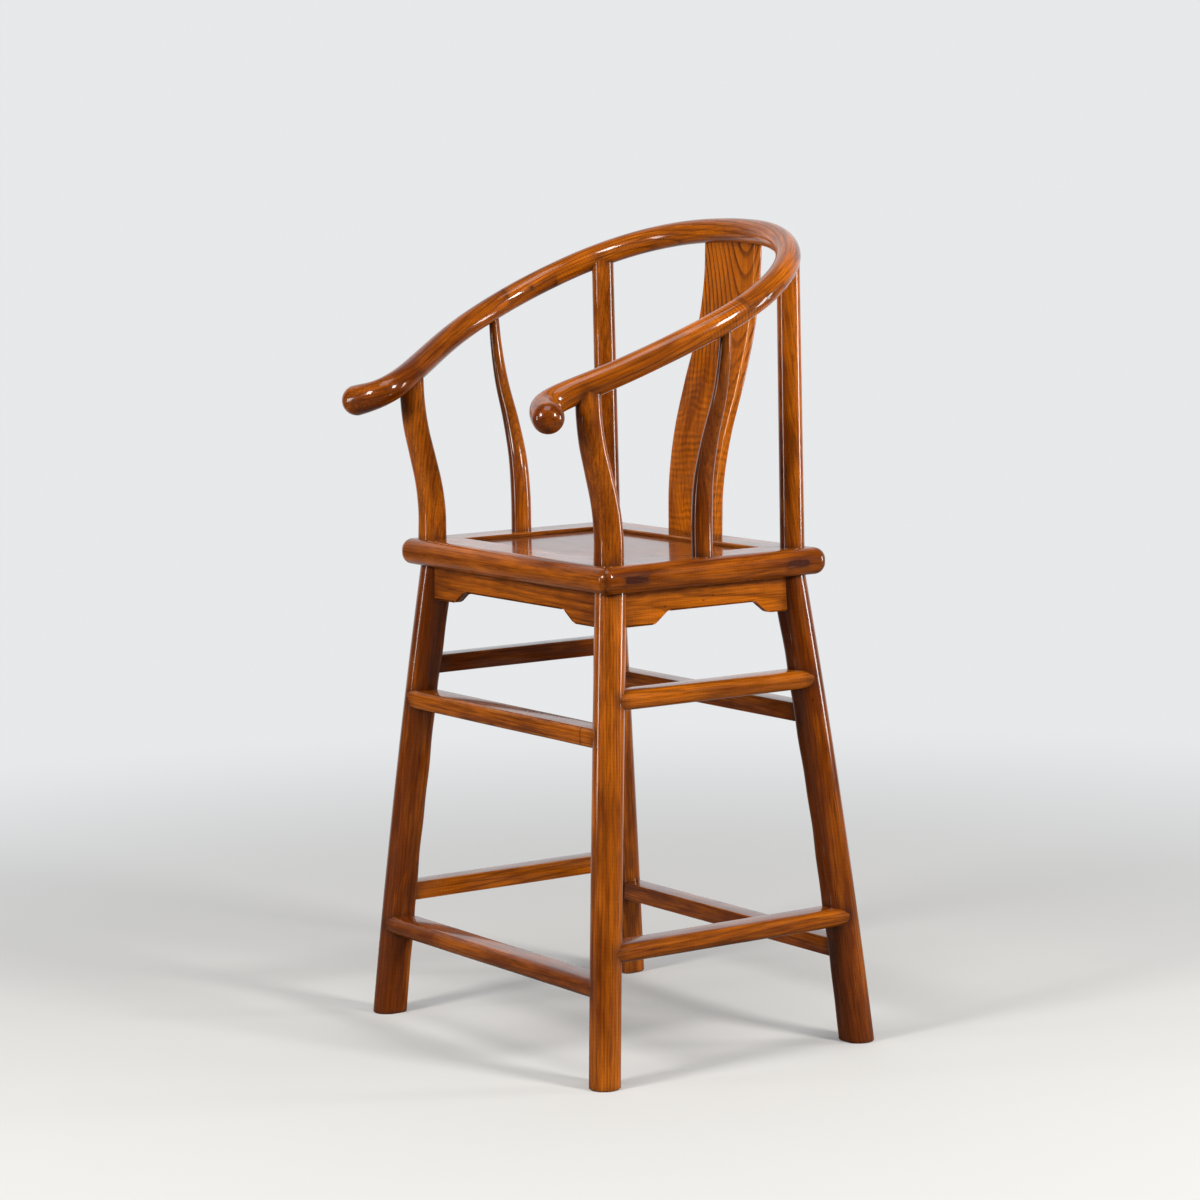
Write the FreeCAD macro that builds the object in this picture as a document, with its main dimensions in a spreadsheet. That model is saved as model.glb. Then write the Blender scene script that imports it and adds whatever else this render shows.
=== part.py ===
import FreeCAD, Part
import math
import os

import Sketcher
from FreeCAD import Placement, Rotation, Vector

# Horseshoe-back armchair on tall splayed legs, in lacquered hardwood, all joinery and no metal.
# The seat is a mitred frame round a floating panel. Each leg and the post above it are one timber
# that passes through a corner of the frame. The front is -Y, the sitter's left is +X, the floor is Z 0,
# and the origin is under the middle of the whole chair.

SIZES = {
    # Seat frame and panel
    "seat_width": 482,
    "seat_depth": 341,
    "seat_height": 631.6,
    "frame_rail_width": 64,
    "frame_thickness": 34,
    "frame_edge_radius": 15,
    "frame_corner_radius": 14,
    "opening_edge_bevel": 1.5,
    "frame_tenon_width": 32,
    "frame_tenon_thickness": 9,
    "panel_recess": 5,
    "panel_thickness": 12,
    "panel_groove_depth": 9,
    "panel_groove_height": 6,
    "panel_gap": 1,
    "panel_field_gap": 0.5,
    "batten_width": 36,
    "batten_depth": 13,
    "batten_flare": 3,
    "batten_dovetail": 4,
    "batten_housing": 12,
    # Legs and the posts that grow out of them
    "leg_diameter": 39,
    "leg_corner_radius": 10,
    "leg_foot_corner_radius": 5,
    "leg_bow": 2.5,
    "foot_bevel": 1.5,
    "foot_spread_x": 257.6,
    "foot_spread_y": 195,
    "leg_top_x": 203.6,
    "leg_top_y": 136,
    "post_x": 205.3,
    "post_y": 139,
    "front_post_base": 33,
    "front_post_top": 28.5,
    "front_post_corner": 11,
    "rear_post_base": 31,
    "rear_post_top": 29,
    "side_post_x": 206.5,
    "side_post_base": 26.5,
    "side_post_top": 12.8,
    "post_tenon_diameter": 15,
    "post_tenon_rise": 5,
    "side_post_tenon_diameter": 14,
    "side_post_tenon_length": 22,
    "side_post_tip_diameter": 7,
    # Horseshoe rail
    "back_height": 1039,
    "rail_diameter": 31.6,
    "rail_half_width": 264,
    "rail_back": 201,
    "arm_reach": 235,
    "arm_drop": 207,
    "arm_end_diameter": 39.5,
    "rail_seam_turn": 50,
    "scarf_length": 70,
    "scarf_pin_size": 7,
    "scarf_pin_taper": 1.5,
    # Back splat
    "splat_width": 114,
    "splat_thickness": 12,
    "splat_corner": 3.5,
    "splat_base_y": 135.5,
    "splat_top_y": 204.5,
    "splat_base_tenon": 14,
    # Aprons
    "apron_thickness": 10,
    "apron_height": 43.8,
    "apron_arch_rise": 15.2,
    "apron_step_radius": 8,
    "apron_setout": 11.5,
    "apron_top_tongue": 5,
    "front_apron_arch": 231,
    "front_apron_step": 23,
    "side_apron_arch": 132,
    "side_apron_step": 19,
    "side_apron_arch_shift": 7,
    # Stretchers
    "stretcher_height": 23.5,
    "stretcher_depth": 35,
    "stretcher_edge_radius": 10,
    "upper_front_edge_radius": 5,
    "stretcher_setback": 0.4,
    "stretcher_tenon_height": 14,
    "stretcher_tenon_depth": 12,
    "upper_front_height": 409.7,
    "upper_side_height": 454.3,
    "lower_front_height": 108.3,
    "lower_side_height": 151,
    # Length by which cutters run past what they cut
    "overrun": 5,
}

# Plan and side shape of the rail, from the crest to the tip of one arm: how far out it is as a share
# of the half width, how far back between tip and crest, and how high between tip and crest.
RAIL_OUT_SHARES = (0.448, 0.817, 0.9977, 0.946, 0.796, 0.7386, 0.852)
RAIL_BACK_SHARES = (0.9606, 0.8346, 0.6117, 0.380, 0.1833, 0.0367, 0)
RAIL_HEIGHT_SHARES = (0.9635, 0.8246, 0.5928, 0.3725, 0.1807, 0.0454, 0)

# The legs bow outwards most at half height, where the product of the two shares is a quarter
LEG_BOW_SHARE = 4

# Heights of the leg's sections as shares of its length, and how much of the corner's rounding they have
LEG_SECTION_SHARES = ((0.25, 0.6), (0.5, 1), (0.75, 0.9), (1, 0.6))

# Places along the half rail, as shares of its length from the crest
REAR_POST_SHARE = 0.3275
SCARF_SHARE = 0.489
SIDE_POST_SHARE = 0.575
FRONT_POST_SHARE = 0.855

# Sections of the rail: place along the half rail, and how far it has thickened towards the arm end
RAIL_SECTION_SHARES = (
    (0.07, 0), (0.14, 0), (0.21, 0), (0.28, 0), (0.35, 0), (0.42, 0), (0.49, 0), (0.56, 0),
    (0.63, 0), (0.70, 0), (0.76, 0.03), (0.82, 0.1), (0.87, 0.2), (0.91, 0.35), (0.94, 0.5),
    (0.965, 0.7), (0.985, 0.9), (1, 1),
)

# Lean of the curved posts and the splat between base and top: share of the height, share of the lean
FRONT_POST_LEAN_SHARES = ((0, 0), (0.17, -0.02), (0.33, 0.13), (0.5, 0.46), (0.67, 0.80), (0.83, 0.97), (1, 1))
SIDE_POST_LEAN_SHARES = ((0, 0), (0.17, 0), (0.33, 0.09), (0.5, 0.35), (0.67, 0.70), (0.83, 0.90), (1, 1))
SPLAT_LEAN_SHARES = ((0, 0), (0.17, 0.04), (0.33, 0.20), (0.5, 0.49), (0.67, 0.78), (0.83, 0.94), (1, 1))
SPLAT_WIDTH_SHARES = (0.955, 0.97, 1.01, 1.05, 1.01, 0.99, 1)
SIDE_POST_TAPER_SHARES = (0, 0.02, 0.16, 0.38, 0.62, 0.82, 1)

document = FreeCAD.newDocument("horseshoe_armchair")
sheet = document.addObject("Spreadsheet::Sheet", "Sizes")


def enter(name, number):
    """Put one named size in the next row of the sheet."""
    row = len(entered) + 1
    sheet.set("A%d" % row, name)
    sheet.set("B%d" % row, str(number))
    sheet.setAlias("B%d" % row, name)
    entered.append(name)


def size(name):
    return float(sheet.get(name))


entered = []
for size_name, size_number in SIZES.items():
    enter(size_name, size_number)
document.recompute()

# The seat's centre stands behind the origin, so that arms and feet reach equally far from it.
front_reach = size("arm_reach") + size("arm_end_diameter") / 2
foot_reach = size("foot_spread_y") + size("leg_diameter") / 2
crest_reach = size("rail_back") + size("rail_diameter") / 2
enter("seat_shift", (front_reach - max(foot_reach, crest_reach)) / 2)
document.recompute()

seat_top = size("seat_height")
seat_underside = seat_top - size("frame_thickness")
leg_radius = size("leg_diameter") / 2
crest_height = size("back_height") - size("rail_diameter") / 2


def seat_point(x, y, z):
    """A point given from the seat's centre line, in the chair's frame."""
    return Vector(x, y + size("seat_shift"), z)


def blend(low, high, share):
    return low + (high - low) * share


# Helpers for bodies, sketches and booleans

def new_body(label):
    return document.addObject("PartDesign::Body", label)


def add_sketch(body, label, role, offset):
    """A sketch on one of the body's own origin planes, moved by an offset in that plane's axes."""
    sketch = body.newObject("Sketcher::SketchObject", label)
    planes = [plane for plane in body.Origin.OriginFeatures if plane.Role == role]
    sketch.AttachmentSupport = [(planes[0], "")]
    sketch.MapMode = "FlatFace"
    sketch.AttachmentOffset = offset
    return sketch


def level_sketch(body, label, height):
    """A sketch seen from above, at a height, with its origin at the seat's centre."""
    sketch = add_sketch(body, label, "XY_Plane", Placement())
    sketch.setExpression("AttachmentOffset.Base.y", "Sizes.seat_shift")
    sketch.setExpression("AttachmentOffset.Base.z", height)
    return sketch


def section_sketch(body, label, place, turn=Rotation()):
    """A sketch for one section of a loft, at a place measured from the seat's centre."""
    return add_sketch(body, label, "XY_Plane", Placement(seat_point(*place), turn))


def bound_loop(sketch, corners):
    """A closed outline of straight lines whose corners are given by pairs of expressions."""
    count = len(corners)
    start_radius = size("seat_width")
    starts = []
    for index in range(count):
        angle = 2 * math.pi * (index + 0.5) / count - math.pi
        starts.append(Vector(start_radius * math.cos(angle), start_radius * math.sin(angle), 0))
    for index in range(count):
        sketch.addGeometry(Part.LineSegment(starts[index], starts[(index + 1) % count]))
    for index in range(count):
        sketch.addConstraint(Sketcher.Constraint("Coincident", index, 2, (index + 1) % count, 1))
    for index, corner in enumerate(corners):
        for kind, start, expression in zip(("DistanceX", "DistanceY"), starts[index], corner):
            number = sketch.addConstraint(Sketcher.Constraint(kind, -1, 1, index, 1, start))
            sketch.setExpression("Constraints[%d]" % number, expression)


def bound_circle(sketch, radius):
    """A circle about the sketch's origin with its radius given by an expression."""
    sketch.addGeometry(Part.Circle(Vector(0, 0, 0), Vector(0, 0, 1), size("rail_diameter") / 2))
    sketch.addConstraint(Sketcher.Constraint("Coincident", 0, 3, -1, 1))
    number = sketch.addConstraint(Sketcher.Constraint("Radius", 0, size("rail_diameter") / 2))
    sketch.setExpression("Constraints[%d]" % number, radius)


def rounded_rectangle(sketch, width, depth, corner):
    """Four lines and four corner arcs about the sketch's origin."""
    half_width, half_depth = width / 2, depth / 2
    signs = ((1, 1), (-1, 1), (-1, -1), (1, -1))
    for index, (sign_x, sign_y) in enumerate(signs):
        centre = Vector(sign_x * (half_width - corner), sign_y * (half_depth - corner), 0)
        circle = Part.Circle(centre, Vector(0, 0, 1), corner)
        sketch.addGeometry(Part.ArcOfCircle(circle, index * math.pi / 2, (index + 1) * math.pi / 2))
    for index in range(4):
        start = sketch.getPoint(index, 2)
        end = sketch.getPoint((index + 1) % 4, 1)
        sketch.addGeometry(Part.LineSegment(start, end))
        sketch.addConstraint(Sketcher.Constraint("Coincident", index, 2, 4 + index, 1))
        sketch.addConstraint(Sketcher.Constraint("Coincident", 4 + index, 2, (index + 1) % 4, 1))


def pad(body, sketch, length, midplane=False):
    feature = body.newObject("PartDesign::Pad", sketch.Name + "_pad")
    feature.Profile = sketch
    feature.setExpression("Length", length)
    feature.Midplane = midplane
    return feature


def pocket(body, sketch, length):
    """Cut away from the sketch's normal, and make sure that something was cut."""
    document.recompute()
    volume = body.Shape.Volume
    feature = body.newObject("PartDesign::Pocket", sketch.Name + "_pocket")
    feature.Profile = sketch
    feature.setExpression("Length", length)
    document.recompute()
    if body.Shape.Volume >= volume:
        raise RuntimeError("%s cuts nothing" % feature.Name)
    return feature


def loft(body, sketches):
    feature = body.newObject("PartDesign::AdditiveLoft", sketches[0].Name + "_loft")
    feature.Profile = sketches[0]
    feature.Sections = sketches[1:]
    return feature


def edge_names(shape, belongs):
    """Names of the edges whose every end and middle satisfy a test on the point."""
    names = []
    for number, edge in enumerate(shape.Edges, 1):
        middle = edge.valueAt((edge.FirstParameter + edge.LastParameter) / 2)
        points = [vertex.Point for vertex in edge.Vertexes] + [middle]
        if all(belongs(point) for point in points):
            names.append("Edge%d" % number)
    return names


def dress(body, kind, radius_name, belongs):
    """Round or bevel the edges of the body's last feature that satisfy a test."""
    document.recompute()
    base = body.Tip
    names = edge_names(base.Shape, belongs)
    if not names:
        raise RuntimeError("no edges to dress on %s" % body.Name)
    feature = body.newObject("PartDesign::" + kind, "%s_%s" % (body.Name, radius_name))
    feature.Base = (base, names)
    feature.setExpression("Radius" if kind == "Fillet" else "Size", "Sizes." + radius_name)
    document.recompute()
    return feature


def fuse(label, pieces):
    result = document.addObject("Part::MultiFuse", label)
    result.Shapes = pieces
    return result


def cut(label, base, tools):
    result = document.addObject("Part::Cut", label)
    result.Base = base
    result.Tool = tools[0] if len(tools) == 1 else fuse(label + "_cutter", tools)
    return result


def common(label, base, tool):
    result = document.addObject("Part::Common", label)
    result.Base = base
    result.Tool = tool
    return result


def box(label, length, width, height, place, turn=Rotation()):
    """A block with its sizes given by expressions and its low corner at a place."""
    result = document.addObject("Part::Box", label)
    result.setExpression("Length", length)
    result.setExpression("Width", width)
    result.setExpression("Height", height)
    result.Placement = Placement(place, turn)
    return result


def upright_cylinder(label, diameter, height, place):
    result = document.addObject("Part::Cylinder", label)
    result.setExpression("Radius", diameter + " / 2")
    result.setExpression("Height", height)
    result.Placement = Placement(place, Rotation())
    return result


SIDES = (("left", 1), ("right", -1))
ENDS = (("front", -1), ("rear", 1))


# Line of the horseshoe rail

def rail_line():
    """The centre line of the rail from the tip of the right arm, over the crest, to the left tip."""
    run = size("rail_back") + size("arm_reach")
    tip_height = crest_height - size("arm_drop")
    half = []
    for out_share, back_share, height_share in zip(RAIL_OUT_SHARES, RAIL_BACK_SHARES, RAIL_HEIGHT_SHARES):
        half.append((
            size("rail_half_width") * out_share,
            run * back_share - size("arm_reach"),
            tip_height + size("arm_drop") * height_share,
        ))
    right = [seat_point(-x, y, z) for x, y, z in reversed(half)]
    left = [seat_point(x, y, z) for x, y, z in half]
    curve = Part.BSplineCurve()
    curve.interpolate(right + [seat_point(0, size("rail_back"), crest_height)] + left)
    return curve


rail_curve = rail_line()
half_rail_length = rail_curve.length() / 2


def rail_station(share, sign):
    """Point and direction of travel towards the tip, at a share of the half rail's length."""
    parameter = rail_curve.parameterAtDistance(half_rail_length * (1 + sign * share), 0)
    direction = rail_curve.tangent(parameter)[0] * sign
    return rail_curve.value(parameter), direction.normalize()


def rail_turn(direction):
    """Axes at a station: Z along the rail, and X outwards and upwards, clear of every joint."""
    across = Vector(0, 0, 1).cross(direction)
    level = Rotation(across, Vector(0, 0, 1), direction, "ZXY")
    return level * Rotation(Vector(0, 0, 1), size("rail_seam_turn"))


def leg_centre(height):
    """Distances of a leg's centre line from the seat's centre lines at a height."""
    share = height / seat_underside
    bow = size("leg_bow") * LEG_BOW_SHARE * share * (1 - share)
    return (
        blend(size("foot_spread_x"), size("leg_top_x"), share) + bow,
        blend(size("foot_spread_y"), size("leg_top_y"), share) + bow,
    )


# Horseshoe rail, first as one blank

def rail_blank():
    body = new_body("rail_blank")
    places = [(-share, growth) for share, growth in reversed(RAIL_SECTION_SHARES)]
    places += [(0, 0)] + list(RAIL_SECTION_SHARES)
    sections = []
    for number, (share, growth) in enumerate(places):
        sign = 1 if share >= 0 else -1
        point, direction = rail_station(abs(share), sign)
        place = Placement(point, rail_turn(direction * sign))
        sketch = add_sketch(body, "rail_section_%d" % number, "XY_Plane", place)
        growth_text = "(Sizes.arm_end_diameter - Sizes.rail_diameter) * %g" % growth
        bound_circle(sketch, "(Sizes.rail_diameter + %s) / 2" % growth_text)
        sections.append(sketch)
    loft(body, sections)
    for name, sign in SIDES:
        point, direction = rail_station(1, sign)
        ball = body.newObject("PartDesign::AdditiveSphere", "arm_ball_" + name)
        ball.setExpression("Radius", "Sizes.arm_end_diameter / 2")
        ball.Placement = Placement(point, rail_turn(direction))
    return body


rail = rail_blank()


# Legs, each in one timber with its post

def leg_section(body, label, height, sign_x, sign_y, softness, bevel=0):
    """Round outside, and squarer towards the middle of the chair with a softened corner."""
    centre_x, centre_y = leg_centre(height)
    sketch = section_sketch(body, label, (sign_x * centre_x, sign_y * centre_y, height))
    radius = leg_radius - bevel
    corner = blend(size("leg_foot_corner_radius"), size("leg_corner_radius"), softness)
    zero = Vector(0, 0, 0)
    # The round part runs from the inner X side over the outside to the inner Y side.
    inner_x = math.pi if sign_x > 0 else 0
    inner_y = -math.pi / 2 if sign_y > 0 else math.pi / 2
    start, end = (inner_y, inner_x) if sign_x * sign_y > 0 else (inner_x, inner_y)
    if end < start:
        end += 2 * math.pi
    up = Vector(0, 0, 1)
    sketch.addGeometry(Part.ArcOfCircle(Part.Circle(zero, up, radius), start, end))
    first = sketch.getPoint(0, 1)
    last = sketch.getPoint(0, 2)
    corner_point = Vector(-sign_x * radius, -sign_y * radius, 0)
    towards_first = (first - corner_point).normalize() * corner
    towards_last = (last - corner_point).normalize() * corner
    bulge = corner_point + (towards_first + towards_last) * (1 - math.sqrt(0.5))
    sketch.addGeometry(Part.LineSegment(last, corner_point + towards_last))
    arc = Part.Arc(corner_point + towards_last, bulge, corner_point + towards_first)
    sketch.addGeometry(arc)
    sketch.addGeometry(Part.LineSegment(corner_point + towards_first, first))
    for index in range(4):
        nearest = sketch.getPoint(index, 2)
        following = (index + 1) % 4
        ends = (1, 2) if (sketch.getPoint(following, 1) - nearest).Length < corner / 2 else (2, 1)
        sketch.addConstraint(Sketcher.Constraint("Coincident", index, 2, following, ends[0]))
    return sketch


def post_places(lean_shares, base, top, low, high):
    """Places of the sections of a curved post: the lean follows the shares, the height the top."""
    places = []
    for height_share, lean_share in lean_shares:
        places.append((
            blend(base[0], top[0], lean_share),
            blend(base[1], top[1], lean_share),
            blend(low, high, height_share),
        ))
    return places


def from_seat(point):
    return (point.x, point.y - size("seat_shift"), point.z)


def leg_blank(end, side, sign_y, sign_x):
    body = new_body("%s_%s_leg_blank" % (end, side))
    foot_height = size("foot_bevel")
    sections = [
        leg_section(body, body.Name + "_sole", 0, sign_x, sign_y, 0, foot_height),
        leg_section(body, body.Name + "_foot", foot_height, sign_x, sign_y, 0),
    ]
    loft(body, sections).Ruled = True
    sections = sections[1:]
    for share, softness in LEG_SECTION_SHARES:
        height = blend(foot_height, seat_underside, share)
        label = "%s_section_%d" % (body.Name, len(sections))
        sections.append(leg_section(body, label, height, sign_x, sign_y, softness))
    loft(body, sections)
    base = (sign_x * size("post_x"), sign_y * size("post_y"))
    share = FRONT_POST_SHARE if end == "front" else REAR_POST_SHARE
    top = from_seat(rail_station(share, sign_x)[0])
    if end == "front":
        places = post_places(FRONT_POST_LEAN_SHARES, base, top, seat_top, top[2])
    else:
        places = [base + (seat_top,), top]
    places.insert(0, base + (seat_underside,))
    sections = []
    for number, place in enumerate(places):
        share = max(0, (place[2] - seat_top) / (top[2] - seat_top))
        sketch = section_sketch(body, "%s_post_%d" % (body.Name, number), place)
        if end == "front":
            width = blend(size("front_post_base"), size("front_post_top"), share)
            rounded_rectangle(sketch, width, width, size("front_post_corner"))
        else:
            words = "(Sizes.rear_post_base + (Sizes.rear_post_top - Sizes.rear_post_base) * %g) / 2"
            bound_circle(sketch, words % share)
        sections.append(sketch)
    if end == "front":
        loft(body, sections)
    else:
        loft(body, sections[:2])
        loft(body, sections[1:])
    return body


leg_blanks = {}
for end_name, end_sign in ENDS:
    for side_name, side_sign in SIDES:
        leg_blanks[end_name, side_name] = leg_blank(end_name, side_name, end_sign, side_sign)


def rail_tenon(label, share, sign, diameter):
    """A round tenon standing in the rail above a post."""
    point = rail_station(share, sign)[0]
    low = Vector(point.x, point.y, point.z - size("rail_diameter"))
    return upright_cylinder(label, diameter, "Sizes.rail_diameter + Sizes.post_tenon_rise", low)


post_tenons = {}
for side_name, side_sign in SIDES:
    for end_name, end_share in (("front", FRONT_POST_SHARE), ("rear", REAR_POST_SHARE)):
        tenon_name = "%s_%s_post_tenon" % (end_name, side_name)
        post_tenons[end_name, side_name] = rail_tenon(
            tenon_name, end_share, side_sign, "Sizes.post_tenon_diameter")
    post_tenons["side", side_name] = rail_tenon(
        side_name + "_side_post_tenon", SIDE_POST_SHARE, side_sign, "Sizes.side_post_tip_diameter")


# Slender posts in the middle of each side

def side_post_blank(side, sign):
    body = new_body(side + "_side_post_blank")
    top = from_seat(rail_station(SIDE_POST_SHARE, sign)[0])
    base = (sign * size("side_post_x"), top[1])
    places = post_places(SIDE_POST_LEAN_SHARES, base, top, seat_top, top[2])
    sections = []
    for number, (place, taper) in enumerate(zip(places, SIDE_POST_TAPER_SHARES)):
        sketch = section_sketch(body, "%s_section_%d" % (body.Name, number), place)
        words = "(Sizes.side_post_base + (Sizes.side_post_top - Sizes.side_post_base) * %g) / 2"
        bound_circle(sketch, words % taper)
        sections.append(sketch)
    loft(body, sections)
    foot = body.newObject("PartDesign::AdditiveCylinder", body.Name + "_tenon")
    foot.setExpression("Radius", "Sizes.side_post_tenon_diameter / 2")
    foot.setExpression("Height", "Sizes.side_post_tenon_length + Sizes.overrun")
    foot.Placement = Placement(seat_point(base[0], base[1], seat_top - size("side_post_tenon_length")), Rotation())
    return body


side_post_blanks = {name: side_post_blank(name, sign) for name, sign in SIDES}


# Back splat, one curved board let into the rear rail below and the crest above

def splat_blank():
    body = new_body("splat_blank")
    base = (0, size("splat_base_y"))
    top = (0, size("splat_top_y"))
    places = post_places(SPLAT_LEAN_SHARES, base, top, seat_top, crest_height)
    places.insert(0, base + (seat_top - size("splat_base_tenon"),))
    widths = (SPLAT_WIDTH_SHARES[0],) + SPLAT_WIDTH_SHARES
    sections = []
    for number, (place, width_share) in enumerate(zip(places, widths)):
        sketch = section_sketch(body, "splat_section_%d" % number, place)
        width = size("splat_width") * width_share
        rounded_rectangle(sketch, width, size("splat_thickness"), size("splat_corner"))
        sections.append(sketch)
    loft(body, sections)
    return body


splat = splat_blank()


# Aprons under the seat frame, with a bracket at each end

def apron_blank(label, role, sign, face_distance, half_length, arch, step):
    """A board seen from its face: straight along the top, arched below between two brackets."""
    body = new_body(label)
    turn = Rotation()
    sketch = add_sketch(body, label + "_outline", role, Placement(Vector(0, 0, 0), turn))
    middle = "0" if role == "XZ_Plane" else "Sizes.seat_shift"
    arch_middle = "0" if role == "XZ_Plane" else "(Sizes.seat_shift + Sizes.side_apron_arch_shift)"
    top = "Sizes.seat_height - Sizes.frame_thickness + Sizes.apron_top_tongue"
    bottom = "Sizes.seat_height - Sizes.frame_thickness - Sizes.apron_height"
    arch_height = bottom + " + Sizes.apron_arch_rise"
    arch_half = "Sizes.%s / 2" % arch
    foot_half = "(%s + Sizes.%s)" % (arch_half, step)
    corners = (
        ("%s - (%s)" % (middle, half_length), top),
        ("%s - (%s)" % (middle, half_length), bottom),
        ("%s - %s" % (arch_middle, foot_half), bottom),
        ("%s - %s" % (arch_middle, arch_half), arch_height),
        ("%s + %s" % (arch_middle, arch_half), arch_height),
        ("%s + %s" % (arch_middle, foot_half), bottom),
        ("%s + (%s)" % (middle, half_length), bottom),
        ("%s + (%s)" % (middle, half_length), top),
    )
    bound_loop(sketch, corners)
    # The plane seen from the front has its normal towards -Y, the other its normal towards +X.
    if role == "XZ_Plane":
        low = "-(%d * (%s) + Sizes.seat_shift) - Sizes.apron_thickness / 2" % (sign, face_distance)
    else:
        low = "%d * (%s) - Sizes.apron_thickness / 2" % (sign, face_distance)
    sketch.setExpression("AttachmentOffset.Base.z", low)
    pad(body, sketch, "Sizes.apron_thickness")
    document.recompute()
    steps = (size(arch) / 2, size(arch) / 2 + size(step))
    middle_place = 0 if role == "XZ_Plane" else size("seat_shift") + size("side_apron_arch_shift")

    def at_step(point):
        along = abs((point.x if role == "XZ_Plane" else point.y) - middle_place)
        return point.z < seat_underside and min(abs(along - place) for place in steps) < size("panel_gap") / 2

    dress(body, "Fillet", "apron_step_radius", at_step)
    return body


apron_blanks = {}
for end_name, end_sign in ENDS:
    apron_blanks[end_name] = apron_blank(
        end_name + "_apron", "XZ_Plane", end_sign,
        "Sizes.leg_top_y + Sizes.apron_setout - Sizes.apron_thickness / 2",
        "Sizes.leg_top_x - Sizes.leg_diameter / 4",
        "front_apron_arch", "front_apron_step")
for side_name, side_sign in SIDES:
    apron_blanks[side_name] = apron_blank(
        side_name + "_apron", "YZ_Plane", side_sign,
        "Sizes.leg_top_x + Sizes.apron_setout - Sizes.apron_thickness / 2",
        "Sizes.leg_top_y - Sizes.leg_diameter / 4",
        "side_apron_arch", "side_apron_step")


# Stretchers, with a rounded outside, shoulders scribed over the legs and blind tenons

def stretcher(label, height_name, edge_name, role, sign, leg_names):
    """A bar between two legs, with the tenons that enter them."""
    low = "Sizes." + height_name
    height = size(height_name) + size("stretcher_height") / 2
    share = "((%s + Sizes.stretcher_height / 2) / (Sizes.seat_height - Sizes.frame_thickness))" % low
    bow = "%d * Sizes.leg_bow * %s * (1 - %s)" % (LEG_BOW_SHARE, share, share)
    centre_x = "(Sizes.foot_spread_x + (Sizes.leg_top_x - Sizes.foot_spread_x) * %s + %s)" % (share, bow)
    centre_y = "(Sizes.foot_spread_y + (Sizes.leg_top_y - Sizes.foot_spread_y) * %s + %s)" % (share, bow)
    along_x = role == "YZ_Plane"
    reach, offset = (centre_x, centre_y) if along_x else (centre_y, centre_x)
    middle = "Sizes.seat_shift" if along_x else "0"
    outer = "(%s + Sizes.leg_diameter / 2 - Sizes.stretcher_setback)" % offset
    inner = "(%s - Sizes.stretcher_depth)" % outer
    body = new_body(label + "_bar")
    sketch = add_sketch(body, label + "_section", role, Placement())
    corners = (
        ("%s + %d * %s" % (middle, sign, inner), low),
        ("%s + %d * %s" % (middle, sign, outer), low),
        ("%s + %d * %s" % (middle, sign, outer), low + " + Sizes.stretcher_height"),
        ("%s + %d * %s" % (middle, sign, inner), low + " + Sizes.stretcher_height"),
    )
    bound_loop(sketch, corners)
    if not along_x:
        sketch.setExpression("AttachmentOffset.Base.z", "-Sizes.seat_shift")
    pad(body, sketch, "2 * %s" % reach, midplane=True)
    leg_x, leg_y = leg_centre(height)
    outer_distance = (leg_y if along_x else leg_x) + leg_radius - size("stretcher_setback")
    middle_place = size("seat_shift") if along_x else 0

    def outer_edge(point):
        across = (point.y if along_x else point.x) - middle_place
        return abs(across * sign - outer_distance) < size("stretcher_setback")

    def long_outer_edge(point):
        half_height = size("stretcher_height") / 2
        return outer_edge(point) and abs(point.z - height) > half_height * 0.9

    dress(body, "Fillet", edge_name, long_outer_edge)
    coped = cut(label + "_coped", body, [leg_blanks[name] for name in leg_names])
    tenons = []
    for number, end_sign in enumerate((-1, 1)):
        length = "Sizes.leg_diameter / 2 + Sizes.overrun"
        deep = size("stretcher_tenon_depth")
        tall = size("stretcher_tenon_height")
        long_size = leg_radius + size("overrun")
        if along_x:
            low_x = leg_x - long_size if end_sign > 0 else -leg_x
            place = seat_point(low_x, sign * leg_y - deep / 2, height - tall / 2)
            sizes = (length, "Sizes.stretcher_tenon_depth")
        else:
            low_y = leg_y - long_size if end_sign > 0 else -leg_y
            place = seat_point(sign * leg_x - deep / 2, low_y, height - tall / 2)
            sizes = ("Sizes.stretcher_tenon_depth", length)
        tenons.append(box("%s_tenon_%d" % (label, number), *sizes, "Sizes.stretcher_tenon_height", place))
    for name, tenon in zip(leg_names, tenons):
        leg_tenons[name].append(tenon)
    finished[label] = fuse(label, [coped] + tenons)


finished = {}
leg_tenons = {name: [] for name in leg_blanks}
for tier in ("upper", "lower"):
    for end_name, end_sign in ENDS:
        is_flat = (tier, end_name) == ("upper", "front")
        stretcher("%s_%s_stretcher" % (tier, end_name), tier + "_front_height",
                  "upper_front_edge_radius" if is_flat else "stretcher_edge_radius",
                  "YZ_Plane", end_sign, ((end_name, "right"), (end_name, "left")))
    for side_name, side_sign in SIDES:
        stretcher("%s_%s_stretcher" % (tier, side_name), tier + "_side_height", "stretcher_edge_radius",
                  "XZ_Plane", side_sign, (("front", side_name), ("rear", side_name)))


# Seat panel and the dovetailed batten under it

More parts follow.
